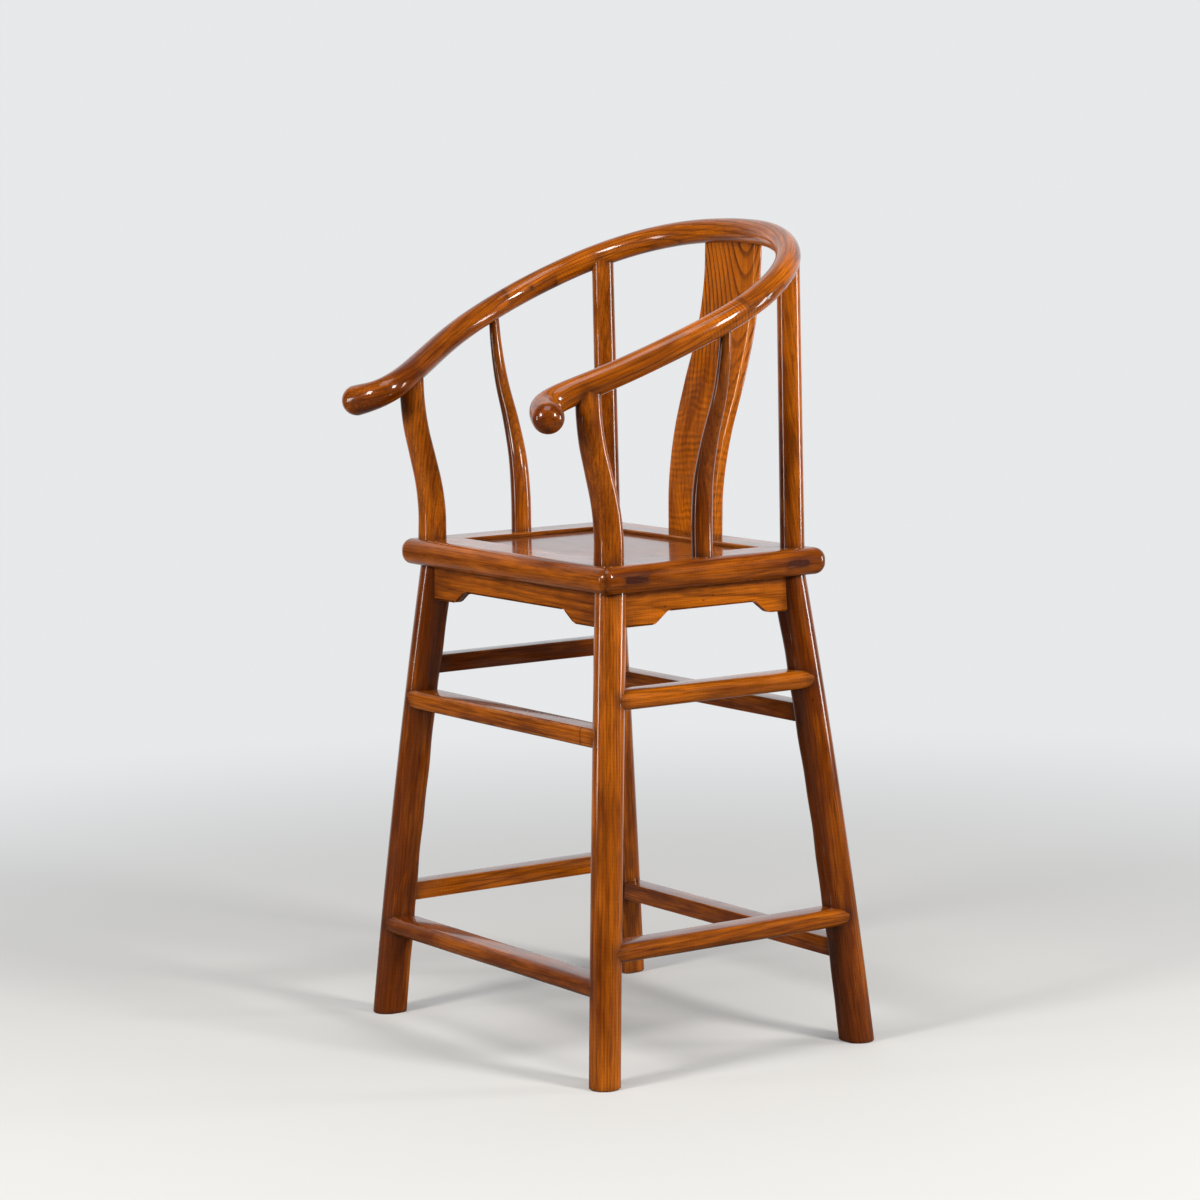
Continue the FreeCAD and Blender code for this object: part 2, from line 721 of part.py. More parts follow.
def seat_batten():
    body = new_body("seat_batten")
    sketch = add_sketch(body, "batten_section", "XZ_Plane", Placement())
    panel_bottom = "(Sizes.seat_height - Sizes.panel_recess - Sizes.panel_thickness)"
    half = "Sizes.batten_width / 2"
    corners = (
        ("-" + half, panel_bottom + " - Sizes.batten_depth"),
        (half, panel_bottom + " - Sizes.batten_depth"),
        (half, panel_bottom),
        (half + " - Sizes.batten_flare", panel_bottom),
        (half, panel_bottom + " + Sizes.batten_dovetail"),
        ("-" + half, panel_bottom + " + Sizes.batten_dovetail"),
        ("-%s + Sizes.batten_flare" % half, panel_bottom),
        ("-" + half, panel_bottom),
    )
    bound_loop(sketch, corners)
    sketch.setExpression("AttachmentOffset.Base.z", "-Sizes.seat_shift")
    opening = "Sizes.seat_depth - 2 * Sizes.frame_rail_width"
    pad(body, sketch, opening + " + 2 * Sizes.batten_housing", midplane=True)
    return body


def panel_blank():
    """Raised field below, thinner tongue all round at the level of the top face."""
    body = new_body("panel_blank")
    half_x = "Sizes.seat_width / 2 - Sizes.frame_rail_width"
    half_y = "Sizes.seat_depth / 2 - Sizes.frame_rail_width"
    layers = (
        ("field", "- Sizes.panel_field_gap", "Sizes.panel_thickness"),
        ("tongue", "+ Sizes.panel_groove_depth - Sizes.panel_gap", "Sizes.panel_groove_height"),
    )
    for name, change, thickness in layers:
        low = "Sizes.seat_height - Sizes.panel_recess - " + thickness
        sketch = level_sketch(body, "panel_" + name, low)
        corners = []
        for sign_x, sign_y in ((-1, -1), (1, -1), (1, 1), (-1, 1)):
            corners.append((
                "%d * (%s %s)" % (sign_x, half_x, change),
                "%d * (%s %s)" % (sign_y, half_y, change),
            ))
        bound_loop(sketch, corners)
        pad(body, sketch, thickness)
    return body


batten = seat_batten()
panel = panel_blank()
finished["seat_batten"] = batten
finished["seat_panel"] = cut("seat_panel", panel, [batten])


# Seat frame, shaped as one ring and parted at the mitres

def frame_blank():
    body = new_body("frame_blank")
    half_x = "Sizes.seat_width / 2"
    half_y = "Sizes.seat_depth / 2"
    quarters = ((-1, -1), (1, -1), (1, 1), (-1, 1))
    low = "Sizes.seat_height - Sizes.frame_thickness"
    sketch = level_sketch(body, "frame_outline", low)
    bound_loop(sketch, [("%d * %s" % (x, half_x), "%d * %s" % (y, half_y)) for x, y in quarters])
    pad(body, sketch, "Sizes.frame_thickness")
    near = size("panel_gap") / 2

    def upright_corner(point):
        corner = Vector(abs(point.x), abs(point.y - size("seat_shift")), 0)
        return (corner - Vector(size("seat_width") / 2, size("seat_depth") / 2, 0)).Length < near

    def outer_loop(point):
        return min(abs(point.z - seat_top), abs(point.z - seat_underside)) < near

    dress(body, "Fillet", "frame_corner_radius", upright_corner)
    dress(body, "Fillet", "frame_edge_radius", outer_loop)
    openings = (
        ("opening", "0", "Sizes.seat_height", "Sizes.frame_thickness"),
        ("groove", "Sizes.panel_groove_depth", "Sizes.seat_height - Sizes.panel_recess",
         "Sizes.panel_groove_height"),
    )
    for name, growth, height, depth in openings:
        sketch = level_sketch(body, "frame_" + name, height)
        corners = []
        for sign_x, sign_y in quarters:
            corners.append((
                "%d * (%s - Sizes.frame_rail_width + %s)" % (sign_x, half_x, growth),
                "%d * (%s - Sizes.frame_rail_width + %s)" % (sign_y, half_y, growth),
            ))
        bound_loop(sketch, corners)
        pocket(body, sketch, depth)
        if name == "opening":
            inner_x = size("seat_width") / 2 - size("frame_rail_width") + near
            inner_y = size("seat_depth") / 2 - size("frame_rail_width") + near

            def opening_edge(point):
                inside = abs(point.x) < inner_x and abs(point.y - size("seat_shift")) < inner_y
                return inside and abs(point.z - seat_top) < near

            dress(body, "Chamfer", "opening_edge_bevel", opening_edge)
    return body


def mitre_wedge(label, along_x, sign):
    """The share of the ring that belongs to one rail, bounded by the mitres."""
    body = new_body(label)
    sketch = level_sketch(body, label + "_outline", "Sizes.seat_height - Sizes.frame_thickness - Sizes.overrun")
    outer_x = "(Sizes.seat_width / 2 + Sizes.overrun)"
    outer_y = "(Sizes.seat_depth / 2 + Sizes.overrun)"
    inner_x = "(Sizes.seat_width / 2 - Sizes.frame_rail_width)"
    inner_y = "(Sizes.seat_depth / 2 - Sizes.frame_rail_width)"
    if along_x:
        corners = (
            ("-" + outer_x, "%d * %s" % (sign, outer_y)),
            (outer_x, "%d * %s" % (sign, outer_y)),
            (inner_x, "%d * %s" % (sign, inner_y)),
            ("-" + inner_x, "%d * %s" % (sign, inner_y)),
        )
    else:
        corners = (
            ("%d * %s" % (sign, outer_x), "-" + outer_y),
            ("%d * %s" % (sign, outer_x), outer_y),
            ("%d * %s" % (sign, inner_x), inner_y),
            ("%d * %s" % (sign, inner_x), "-" + inner_y),
        )
    bound_loop(sketch, corners)
    pad(body, sketch, "Sizes.frame_thickness + 2 * Sizes.overrun")
    return body


ring = frame_blank()
let_in = list(leg_blanks.values()) + list(side_post_blanks.values()) + list(apron_blanks.values())
bored_ring = cut("bored_ring", ring, let_in + [splat, batten])

frame_tenons = {name: [] for name, sign in ENDS}
for end_name, end_sign in ENDS:
    for side_name, side_sign in SIDES:
        tenon_length = size("frame_rail_width") + 2 * size("overrun")
        inner_x = size("seat_width") / 2 - size("frame_rail_width") - size("overrun")
        inner_y = size("seat_depth") / 2 - size("frame_rail_width")
        low_x = inner_x if side_sign > 0 else -inner_x - tenon_length
        low_y = inner_y if end_sign > 0 else -inner_y - size("frame_tenon_width")
        low_z = seat_top - (size("frame_thickness") + size("frame_tenon_thickness")) / 2
        block = box("%s_%s_frame_tenon" % (end_name, side_name),
                    "Sizes.frame_rail_width + 2 * Sizes.overrun", "Sizes.frame_tenon_width",
                    "Sizes.frame_tenon_thickness", seat_point(low_x, low_y, low_z))
        frame_tenons[end_name].append(block)

for end_name, end_sign in ENDS:
    wedge = mitre_wedge(end_name + "_wedge", True, end_sign)
    pieces = [common(end_name + "_rail_between_mitres", bored_ring, wedge)]
    for number, block in enumerate(frame_tenons[end_name]):
        pieces.append(common("%s_rail_tenon_%d" % (end_name, number), bored_ring, block))
    finished["seat_%s_rail" % end_name] = fuse("seat_%s_rail" % end_name, pieces)
all_frame_tenons = [block for blocks in frame_tenons.values() for block in blocks]
for side_name, side_sign in SIDES:
    wedge = mitre_wedge(side_name + "_wedge", False, side_sign)
    between = common(side_name + "_rail_between_mitres", bored_ring, wedge)
    finished["seat_%s_rail" % side_name] = cut("seat_%s_rail" % side_name, between, all_frame_tenons)


# Posts, legs and aprons brought to their joints

for side_name, side_sign in SIDES:
    for end_name, end_sign in ENDS:
        key = (end_name, side_name)
        label = "%s_%s_leg" % key
        neighbours = [rail, apron_blanks[end_name], apron_blanks[side_name]] + leg_tenons[key]
        scribed = cut(label + "_scribed", leg_blanks[key], neighbours)
        finished[label] = fuse(label, [scribed, post_tenons[key]])
    label = side_name + "_side_post"
    scribed = cut(label + "_scribed", side_post_blanks[side_name], [rail])
    finished[label] = fuse(label, [scribed, post_tenons["side", side_name]])
for name, apron in apron_blanks.items():
    finished[name + "_apron"] = apron
finished["back_splat"] = splat


# Horseshoe rail parted at its two scarf joints, each locked by a tapered pin

bored_rail = cut("bored_rail", rail, list(post_tenons.values()) + [splat])


def scarf(side, sign):
    """Blocks that part the rail at one joint: the arm's side, and each half of the lap."""
    point, direction = rail_station(SCARF_SHARE, sign)
    across = Vector(0, 0, 1).cross(direction).normalize()
    upward = direction.cross(across)
    turn = Rotation(direction, across, upward, "XYZ")
    reach = size("rail_half_width")
    half_lap = size("scarf_length") / 2
    # The blocks reach a rail's thickness outwards, and inwards nearly to the chair's middle.
    outwards = size("rail_diameter")
    low_side = outwards - reach if sign > 0 else -outwards

    def block(name, length, along, rise, height):
        low = point + direction * along + across * low_side + upward * rise
        return box("%s_scarf_%s" % (side, name), length, "Sizes.rail_half_width", height, low, turn)

    arm_length = "Sizes.arm_reach * 2"
    tall = "Sizes.rail_half_width"
    blocks = {
        "arm_from_lap": block("arm_from_lap", arm_length, -half_lap, -reach / 2, tall),
        "arm_past_lap": block("arm_past_lap", arm_length, half_lap, -reach / 2, tall),
        "upper_half": block("upper_half", "Sizes.scarf_length", -half_lap, 0, "Sizes.rail_diameter"),
        "lower_half": block("lower_half", "Sizes.scarf_length", -half_lap, -size("rail_diameter"),
                            "Sizes.rail_diameter"),
    }
    half_pin = size("scarf_pin_size") / 2
    half_tip = half_pin - size("scarf_pin_taper") / 2
    pin_reach = size("rail_diameter") / 2 + size("overrun")
    wedge = document.addObject("Part::Wedge", side + "_pin_blank")
    spans = {
        "Xmin": -half_pin, "Xmax": half_pin, "Zmin": -half_pin, "Zmax": half_pin,
        "X2min": -half_tip, "X2max": half_tip, "Z2min": -half_tip, "Z2max": half_tip,
        "Ymin": -pin_reach, "Ymax": pin_reach,
    }
    for name, number in spans.items():
        setattr(wedge, name, number)
    wedge.Placement = Placement(point, turn)
    return blocks, wedge


crest_cutters = []
for side_name, side_sign in SIDES:
    blocks, pin_blank = scarf(side_name, side_sign)
    label = side_name + "_arm_rail"
    arm = common(label + "_with_lap", bored_rail, blocks["arm_from_lap"])
    finished[label] = cut(label, arm, [blocks["upper_half"], pin_blank])
    crest_cutters += [blocks["arm_past_lap"], blocks["lower_half"], pin_blank]
    finished[side_name + "_scarf_pin"] = common(side_name + "_scarf_pin", rail, pin_blank)
finished["crest_rail"] = cut("crest_rail", bored_rail, crest_cutters)


# Checks, then one file for each piece

def check_pieces():
    for item in document.Objects:
        if "Invalid" in item.State or "Error" in item.State:
            raise RuntimeError("%s failed: %s" % (item.Name, item.State))
    for label, piece in finished.items():
        shape = piece.Shape
        if shape.isNull() or not shape.isValid():
            raise RuntimeError("%s has no valid shape" % label)
        if len(shape.Solids) != 1:
            raise RuntimeError("%s has %d solids" % (label, len(shape.Solids)))


document.recompute()
check_pieces()
os.makedirs("parts", exist_ok=True)
for label, piece in finished.items():
    piece.Label = label
    piece.Shape.exportStep("parts/%s.step" % label)
    print("%s %.0f mm3" % (label, piece.Shape.Volume))
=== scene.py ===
import math

import bmesh
import bpy
import numpy as np
from mathutils import Matrix, Vector
from mathutils.bvhtree import BVHTree


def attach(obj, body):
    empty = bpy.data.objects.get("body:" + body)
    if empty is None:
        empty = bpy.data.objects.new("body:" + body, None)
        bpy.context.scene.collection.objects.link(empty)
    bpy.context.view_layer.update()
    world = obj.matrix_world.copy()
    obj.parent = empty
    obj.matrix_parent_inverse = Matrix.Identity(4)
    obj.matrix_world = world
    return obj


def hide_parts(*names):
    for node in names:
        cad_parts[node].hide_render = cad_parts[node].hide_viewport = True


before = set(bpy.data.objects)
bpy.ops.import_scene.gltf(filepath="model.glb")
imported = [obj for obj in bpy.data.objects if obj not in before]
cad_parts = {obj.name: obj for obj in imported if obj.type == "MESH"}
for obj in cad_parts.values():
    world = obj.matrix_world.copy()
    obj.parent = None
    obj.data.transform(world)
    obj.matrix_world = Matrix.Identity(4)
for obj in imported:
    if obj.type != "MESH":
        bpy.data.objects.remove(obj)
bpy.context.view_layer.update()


# Studio: a floor that the camera sees as pale and the lacquer mirrors as brown, which fades into a
# pale background. Soft lamps stand to both sides of the camera and overhead, with a narrow one low
# on each side for the long highlights.

camera_place = Vector((3.9146, -2.6162, 1.1416))
camera_turn, camera_tilt, camera_roll = (math.radians(angle) for angle in (56.208, 7.054, -1.144))
straight_on = Vector((-math.sin(camera_turn), math.cos(camera_turn), 0))
looking = straight_on * math.cos(camera_tilt) - Vector((0, 0, math.sin(camera_tilt)))
level_right = Vector((math.cos(camera_turn), math.sin(camera_turn), 0))
level_up = level_right.cross(looking)
picture_right = math.cos(camera_roll) * level_right + math.sin(camera_roll) * level_up
picture_up = math.cos(camera_roll) * level_up - math.sin(camera_roll) * level_right
camera_data = bpy.data.cameras.new("studio_camera")
camera_data.sensor_width, camera_data.lens = 36, 111.29
camera = bpy.data.objects.new("studio_camera", camera_data)
bpy.context.scene.collection.objects.link(camera)
camera.matrix_world = Matrix((
    (*picture_right, 0), (*picture_up, 0), (*-looking, 0), (*camera_place, 1))).transposed()
bpy.context.scene.camera = camera
bpy.context.scene.view_settings.view_transform = "Standard"


def join_node(tree, kind, inputs, **settings):
    """Add a node, with each input given by its name or number as another node's socket or a value."""
    made = tree.nodes.new(kind)
    for name, value in settings.items():
        setattr(made, name, value)
    for key, value in inputs.items():
        if isinstance(value, bpy.types.NodeSocket):
            tree.links.new(value, made.inputs[key])
        else:
            made.inputs[key].default_value = value
    return made


def calculate(tree, operation, *values):
    """A number worked out from others."""
    return join_node(tree, "ShaderNodeMath", dict(enumerate(values)), operation=operation).outputs[0]


def shift(tree, operation, *places):
    """A place worked out from others."""
    made = join_node(tree, "ShaderNodeVectorMath", dict(enumerate(places)), operation=operation)
    return made.outputs["Vector"]


def measure(tree, operation, *places):
    """A number worked out from places."""
    made = join_node(tree, "ShaderNodeVectorMath", dict(enumerate(places)), operation=operation)
    return made.outputs["Value"]


def mixed(tree, factor, first, second):
    """One colour turning into another as the factor goes from 0 to 1."""
    made = join_node(tree, "ShaderNodeMix", {"Factor": factor, 6: first, 7: second}, data_type="RGBA")
    return made.outputs[2]


def spread(tree, value, low, high, bottom=0.0, top=1.0):
    """A number going softly from bottom to top while the value goes from low to high."""
    return join_node(tree, "ShaderNodeMapRange", {
        "Value": value, "From Min": low, "From Max": high, "To Min": bottom, "To Max": top},
        interpolation_type="SMOOTHSTEP").outputs["Result"]


background_colour = (0.80, 0.81, 0.82, 1)
seen_floor, mirrored_floor = (0.57, 0.57, 0.565, 1), (0.16, 0.14, 0.12, 1)
floor_reach, floor_sides = 30, 64
floor_angles = [2 * math.pi * n / floor_sides for n in range(floor_sides)]
floor_edge = [(floor_reach * math.cos(angle), floor_reach * math.sin(angle), 0) for angle in floor_angles]
floor_mesh = bpy.data.meshes.new("studio_floor")
floor_mesh.from_pydata(floor_edge, [], [list(range(floor_sides))])
floor = bpy.data.objects.new("studio_floor", floor_mesh)
bpy.context.scene.collection.objects.link(floor)
floor_paint = bpy.data.materials.new("pale_floor")
floor_paint.use_nodes = True
paint_tree = floor_paint.node_tree
floor_shader = paint_tree.nodes["Principled BSDF"]
floor_shader.inputs["Roughness"].default_value = 0.8
floor_shader.inputs["Specular IOR Level"].default_value = 0.2
to_camera = join_node(paint_tree, "ShaderNodeLightPath", {}).outputs["Is Camera Ray"]
floor_colour = mixed(paint_tree, to_camera, mirrored_floor, seen_floor)
paint_tree.links.new(floor_colour, floor_shader.inputs["Base Color"])
floor_spot = join_node(paint_tree, "ShaderNodeTexCoord", {}).outputs["Object"]
fade = spread(paint_tree, measure(paint_tree, "LENGTH", floor_spot), 0.4, 2.6, 0.1)
floor_ahead = measure(paint_tree, "DOT_PRODUCT", shift(paint_tree, "NORMALIZE", floor_spot), straight_on)
shown = calculate(paint_tree, "MAXIMUM", spread(paint_tree, floor_ahead, 0.45, 0.8), to_camera)
haze = join_node(paint_tree, "ShaderNodeEmission", {"Color": background_colour, "Strength": 1.0}).outputs[0]
paint = join_node(paint_tree, "ShaderNodeMixShader", {
    0: calculate(paint_tree, "MULTIPLY", fade, shown), 1: floor_shader.outputs[0], 2: haze})
paint_tree.links.new(paint.outputs[0], paint_tree.nodes["Material Output"].inputs["Surface"])
floor_mesh.materials.append(floor_paint)

world = bpy.data.worlds.new("studio_world")
bpy.context.scene.world = world
world.use_nodes = True
world_tree = world.node_tree
world_tree.nodes.clear()
world_spot = join_node(world_tree, "ShaderNodeTexCoord", {}).outputs["Generated"]
wall = spread(world_tree, measure(world_tree, "DOT_PRODUCT", world_spot, straight_on), 0.35, 0.8, 0.10, 0.85)
room = join_node(world_tree, "ShaderNodeBackground", {"Color": (0.95, 0.97, 1, 1), "Strength": wall})
plain = join_node(world_tree, "ShaderNodeBackground", {"Color": background_colour, "Strength": 1.0})
seen = join_node(world_tree, "ShaderNodeMixShader", {
    0: join_node(world_tree, "ShaderNodeLightPath", {}).outputs["Is Camera Ray"], 1: room.outputs[0],
    2: plain.outputs[0]})
join_node(world_tree, "ShaderNodeOutputWorld", {"Surface": seen.outputs[0]})


def soft_lamp(name, aside, above, far, width, height, power, tint, aim=0.6):
    """A rectangular lamp beside and above the camera's line, turned to the chair at the aimed height."""
    target = Vector((0, 0, aim))
    bearing = camera_turn + math.radians(aside)
    away = Vector((math.sin(bearing), -math.cos(bearing), math.tan(math.radians(above))))
    spot = target + away.normalized() * far
    lamp_data = bpy.data.lights.new(name, "AREA")
    lamp_data.shape = "RECTANGLE"
    lamp_data.size, lamp_data.size_y = width, height
    lamp_data.energy, lamp_data.color = power, tint
    lamp = bpy.data.objects.new(name, lamp_data)
    lamp.visible_camera = False
    bpy.context.scene.collection.objects.link(lamp)
    lamp.matrix_world = Matrix.Translation(spot) @ (target - spot).to_track_quat("-Z", "Y").to_matrix().to_4x4()


soft_lamp("left_lamp", -50, 24, 3.2, 0.7, 0.9, 84, (1, 0.97, 0.92))
soft_lamp("right_lamp", 49, 23, 3.2, 0.6, 0.8, 90, (1, 0.97, 0.92))
soft_lamp("top_lamp", -10, 72, 3.0, 1.6, 1.6, 36, (1, 0.98, 0.95))
soft_lamp("left_strip", -77, 0, 3.0, 0.3, 0.9, 16, (1, 0.98, 0.96), aim=0.8)
soft_lamp("right_strip", 90, 0, 3.0, 0.5, 0.9, 34, (1, 0.98, 0.96), aim=0.8)


# Leg timbers, four of them. Each is one length of elm: below the seat it is splayed, round
# outside and squarer inside, and above the seat it is thinned to the post that carries the rail.

seat_back = 0.018975  # the seat's middle lies this far behind the chair's
seat_top, seat_under = 0.6316, 0.5976
leg_radius, leg_bow, foot_ease = 0.0195, 0.0025, 0.0015
foot_spread, leg_top = (0.2576, 0.195), (0.2036, 0.136)
foot_corner, leg_corner, post_corner, sharpest_corner = 0.005, 0.010, 0.011, 0.003
leg_softness = (0, 0.6, 1, 0.9, 0.6)
post_foot = (0.2053, 0.139)
post_heads = {"front": (0.2055, -0.1643, 0.8496), "rear": (0.2063, 0.1376, 0.9914)}
post_widths = {"front": (0.033, 0.0285), "rear": (0.031, 0.029)}
marks = (0, 0.17, 0.33, 0.5, 0.67, 0.83, 1)
front_post_lean = (0, -0.02, 0.13, 0.46, 0.80, 0.97, 1)
ring_steps = 72


def hermite(share, run, first, last, first_slope, last_slope):
    """A smooth curve from one value or point to the next, with a given slope at each."""
    square, cube = share ** 2, share ** 3
    return ((2 * cube - 3 * square + 1) * first + (cube - 2 * square + share) * run * first_slope
            + (3 * square - 2 * cube) * last + (cube - square) * run * last_slope)


def smooth_between(places, values, at):
    """A smooth curve through given values, read at other places."""
    places, values, at = np.array(places, float), np.array(values, float), np.atleast_1d(np.array(at, float))
    slopes = np.gradient(values, places)
    slot = np.clip(np.searchsorted(places, at) - 1, 0, len(places) - 2)
    run = places[slot + 1] - places[slot]
    share = np.clip((at - places[slot]) / run, 0, 1)
    return hermite(share, run, values[slot], values[slot + 1], slopes[slot], slopes[slot + 1])


def squared_round(angle, half, corner):
    """Distance from the middle to the edge of a square with rounded corners."""
    sides = abs(math.cos(angle)), abs(math.sin(angle))
    high, low = max(sides), min(sides)
    reach = half / high
    if reach * low <= half - corner:
        return reach
    middle = half - corner
    forward = middle * (high + low)
    return forward + math.sqrt(max(forward ** 2 - 2 * middle ** 2 + corner ** 2, 0))


def rub_of(bend):
    """How much wear an edge of this bend, in turn per metre, has taken."""
    return np.clip((bend - 70) / 160, 0, 1)


def timber(name, rings):
    """A closed skin over rings of points, with the wear on its sharp places kept as rub."""
    rings = [np.array(ring, float) for ring in rings]
    count = len(rings[0])
    faces = []
    for low in range(0, (len(rings) - 1) * count, count):
        for n in range(count):
            after, high = (n + 1) % count, low + count
            faces.append((low + n, low + after, high + after, high + n))
    faces.append(tuple(range(count))[::-1])
    faces.append(tuple((len(rings) - 1) * count + n for n in range(count)))
    mesh = bpy.data.meshes.new(name)
    mesh.from_pydata(np.concatenate(rings).tolist(), [], faces)
    rub = []
    for ring in rings:
        before, after = ring - np.roll(ring, 1, 0), np.roll(ring, -1, 0) - ring
        lengths = np.linalg.norm(before, axis=1), np.linalg.norm(after, axis=1)
        cosine = (before * after).sum(1) / np.maximum(lengths[0] * lengths[1], 1e-12)
        bend = np.arccos(np.clip(cosine, -1, 1)) / np.maximum((lengths[0] + lengths[1]) / 2, 1e-6)
        rub += rub_of(bend).tolist()
    mesh.attributes.new("rub", "FLOAT", "POINT").data.foreach_set("value", rub)
    return settle(name, mesh)


def smooth_faces(mesh):
    """Smooth shading that stops at the real edges."""
    mesh.shade_smooth()
    mesh.set_sharp_from_angle(angle=math.radians(38))


pieces = []


def settle(name, mesh):
    """Close the mesh, turn its faces outwards, smooth it between its edges and place it in the scene."""
    shape = bmesh.new()
    shape.from_mesh(mesh)
    bmesh.ops.remove_doubles(shape, verts=shape.verts, dist=1e-6)
    bmesh.ops.dissolve_degenerate(shape, dist=1e-7, edges=shape.edges)
    bmesh.ops.recalc_face_normals(shape, faces=shape.faces)
    shape.to_mesh(mesh)
    shape.free()
    smooth_faces(mesh)
    piece = bpy.data.objects.new(name, mesh)
    bpy.context.scene.collection.objects.link(piece)
    pieces.append(piece)
    return piece


def points_of(piece):
    """All points of a piece, one to a row."""
    points = np.empty(len(piece.data.vertices) * 3)
    piece.data.vertices.foreach_get("co", points)
    return points.reshape(-1, 3)


def keep_grain(piece, places, stain):
    """Keep for every point where it lay in the log and how light it took the stain, with painted shade included
    where it is added.
    """
    attributes = piece.data.attributes
    attributes.new("grain_place", "FLOAT_VECTOR", "POINT").data.foreach_set("vector", np.ravel(places))
    attributes.new("stain", "FLOAT", "POINT").data.foreach_set("value", np.full(len(places), stain))


def lay_grain(piece, start, towards, heart, turn=0, stain=0.5):
    """Lay straight grain from one place towards another; heart is where the start lay in the log."""
    along = (Vector(towards) - Vector(start)).normalized()
    side = Vector((0, 1, 0) if abs(along.z) > 0.9 else (0, 0, 1)).cross(along).normalized()
    spin = math.radians(turn)
    turned = np.array(((math.cos(spin), -math.sin(spin), 0), (math.sin(spin), math.cos(spin), 0), (0, 0, 1)))
    to_log = (turned @ np.array((side, along.cross(side), along))).T
    keep_grain(piece, (points_of(piece) - np.array(start)) @ to_log + np.array(heart), stain)


def heights_of(rings):
    """The height of every point of the rings."""
    return np.array(rings)[:, :, 2].ravel()


def painted_side_shade(rings, amount):
    """Painted shade: how much the stain is lowered on the side of a timber towards the camera's left, and
    raised towards its right, at every point.
    """
    offset = np.array(rings) - np.array(rings).mean(1, keepdims=True)
    return amount * (offset @ np.array((0.56, 0.83, 0)) / np.abs(offset[:, :, :2]).max()).ravel()


def add_sockets(group, ins, outs, out_kind="Float"):
    """Named inputs and outputs of a node group, with what an input is when nothing feeds it."""
    for name, kind, *value in ins:
        socket = group.interface.new_socket(name, in_out="INPUT", socket_type="NodeSocket" + kind)
        if value:
            socket.default_value = value[0]
    for name in outs:
        group.interface.new_socket(name, in_out="OUTPUT", socket_type="NodeSocket" + out_kind)
    return group.nodes.new("NodeGroupInput").outputs, group.nodes.new("NodeGroupOutput").inputs


def patchy(tree, place, stretch, detail, roughness=0.5):
    """Noise on a place that is stretched, so that it runs along the grain."""
    return join_node(tree, "ShaderNodeTexNoise", {
        "Vector": shift(tree, "MULTIPLY", place, stretch), "Scale": 1.0, "Detail": detail,
        "Roughness": roughness}).outputs["Fac"]


# Growth rings, fibres, pores, patches of tone and cross ripples of elm, in metres in the log
growth = bpy.data.node_groups.new("elm_growth", "ShaderNodeTree")
given, put = add_sockets(growth, (
    ("Place", "Vector"), ("Ring Width", "Float", 0.005), ("Rise", "Float", 0.03), ("Waver", "Float", 0.008),
    ("Curl Length", "Float", 0.005)), ("Rings", "Fibre", "Pores", "Tone", "Curl"))
place = given["Place"]
log_x, log_y, log_z = join_node(growth, "ShaderNodeSeparateXYZ", {0: place}).outputs
radius = measure(growth, "LENGTH", join_node(growth, "ShaderNodeCombineXYZ", {0: log_x, 1: log_y}).outputs[0])
radius = calculate(growth, "MULTIPLY_ADD", log_z, given["Rise"], radius)
for stretch, share in (((9, 9, 2.2), 4.0), ((60, 60, 9), 0.35)):
    bend = calculate(growth, "SUBTRACT", patchy(growth, place, stretch, 2.0), 0.5)
    amount = calculate(growth, "MULTIPLY", given["Waver"], share)
    radius = calculate(growth, "MULTIPLY_ADD", bend, amount, radius)
season = calculate(growth, "FRACT", calculate(growth, "DIVIDE", radius, given["Ring Width"]))
summer = calculate(growth, "MULTIPLY", spread(growth, season, 0.08, 0.38, 1.0, 0.2),
                   spread(growth, season, 0.3, 0.8, 1.0, 0.0))
lines = calculate(growth, "MAXIMUM", summer, spread(growth, season, 0.90, 1.0))
strength = spread(growth, patchy(growth, place, (25, 25, 5), 1.0), 0.3, 0.62, 0.45, 1.0)
growth.links.new(calculate(growth, "MULTIPLY", lines, strength), put["Rings"])
coarse = calculate(growth, "MULTIPLY", patchy(growth, place, (520, 520, 9), 3.0, 0.65), 0.6)
fine = patchy(growth, place, (1300, 1300, 40), 2.0, 0.6)
growth.links.new(calculate(growth, "MULTIPLY_ADD", fine, 0.4, coarse), put["Fibre"])
growth.links.new(spread(growth, patchy(growth, place, (800, 800, 16), 2.0, 0.55), 0.55, 0.72), put["Pores"])
clouds = calculate(growth, "MULTIPLY", patchy(growth, place, (16, 16, 4), 3.0), 0.55)
smudges = patchy(growth, place, (85, 85, 15), 3.0)
growth.links.new(calculate(growth, "MULTIPLY_ADD", smudges, 0.45, clouds), put["Tone"])
swell = calculate(growth, "MULTIPLY", patchy(growth, place, (24, 24, 12), 2.0), 16.0)
ripple = calculate(growth, "DIVIDE", log_z, given["Curl Length"])
ripple = calculate(growth, "MULTIPLY_ADD", ripple, 2 * math.pi, swell)
dashes = spread(growth, patchy(growth, place, (45, 45, 140), 2.0), 0.36, 0.6)
growth.links.new(calculate(growth, "MULTIPLY", calculate(growth, "SINE", ripple), dashes), put["Curl"])
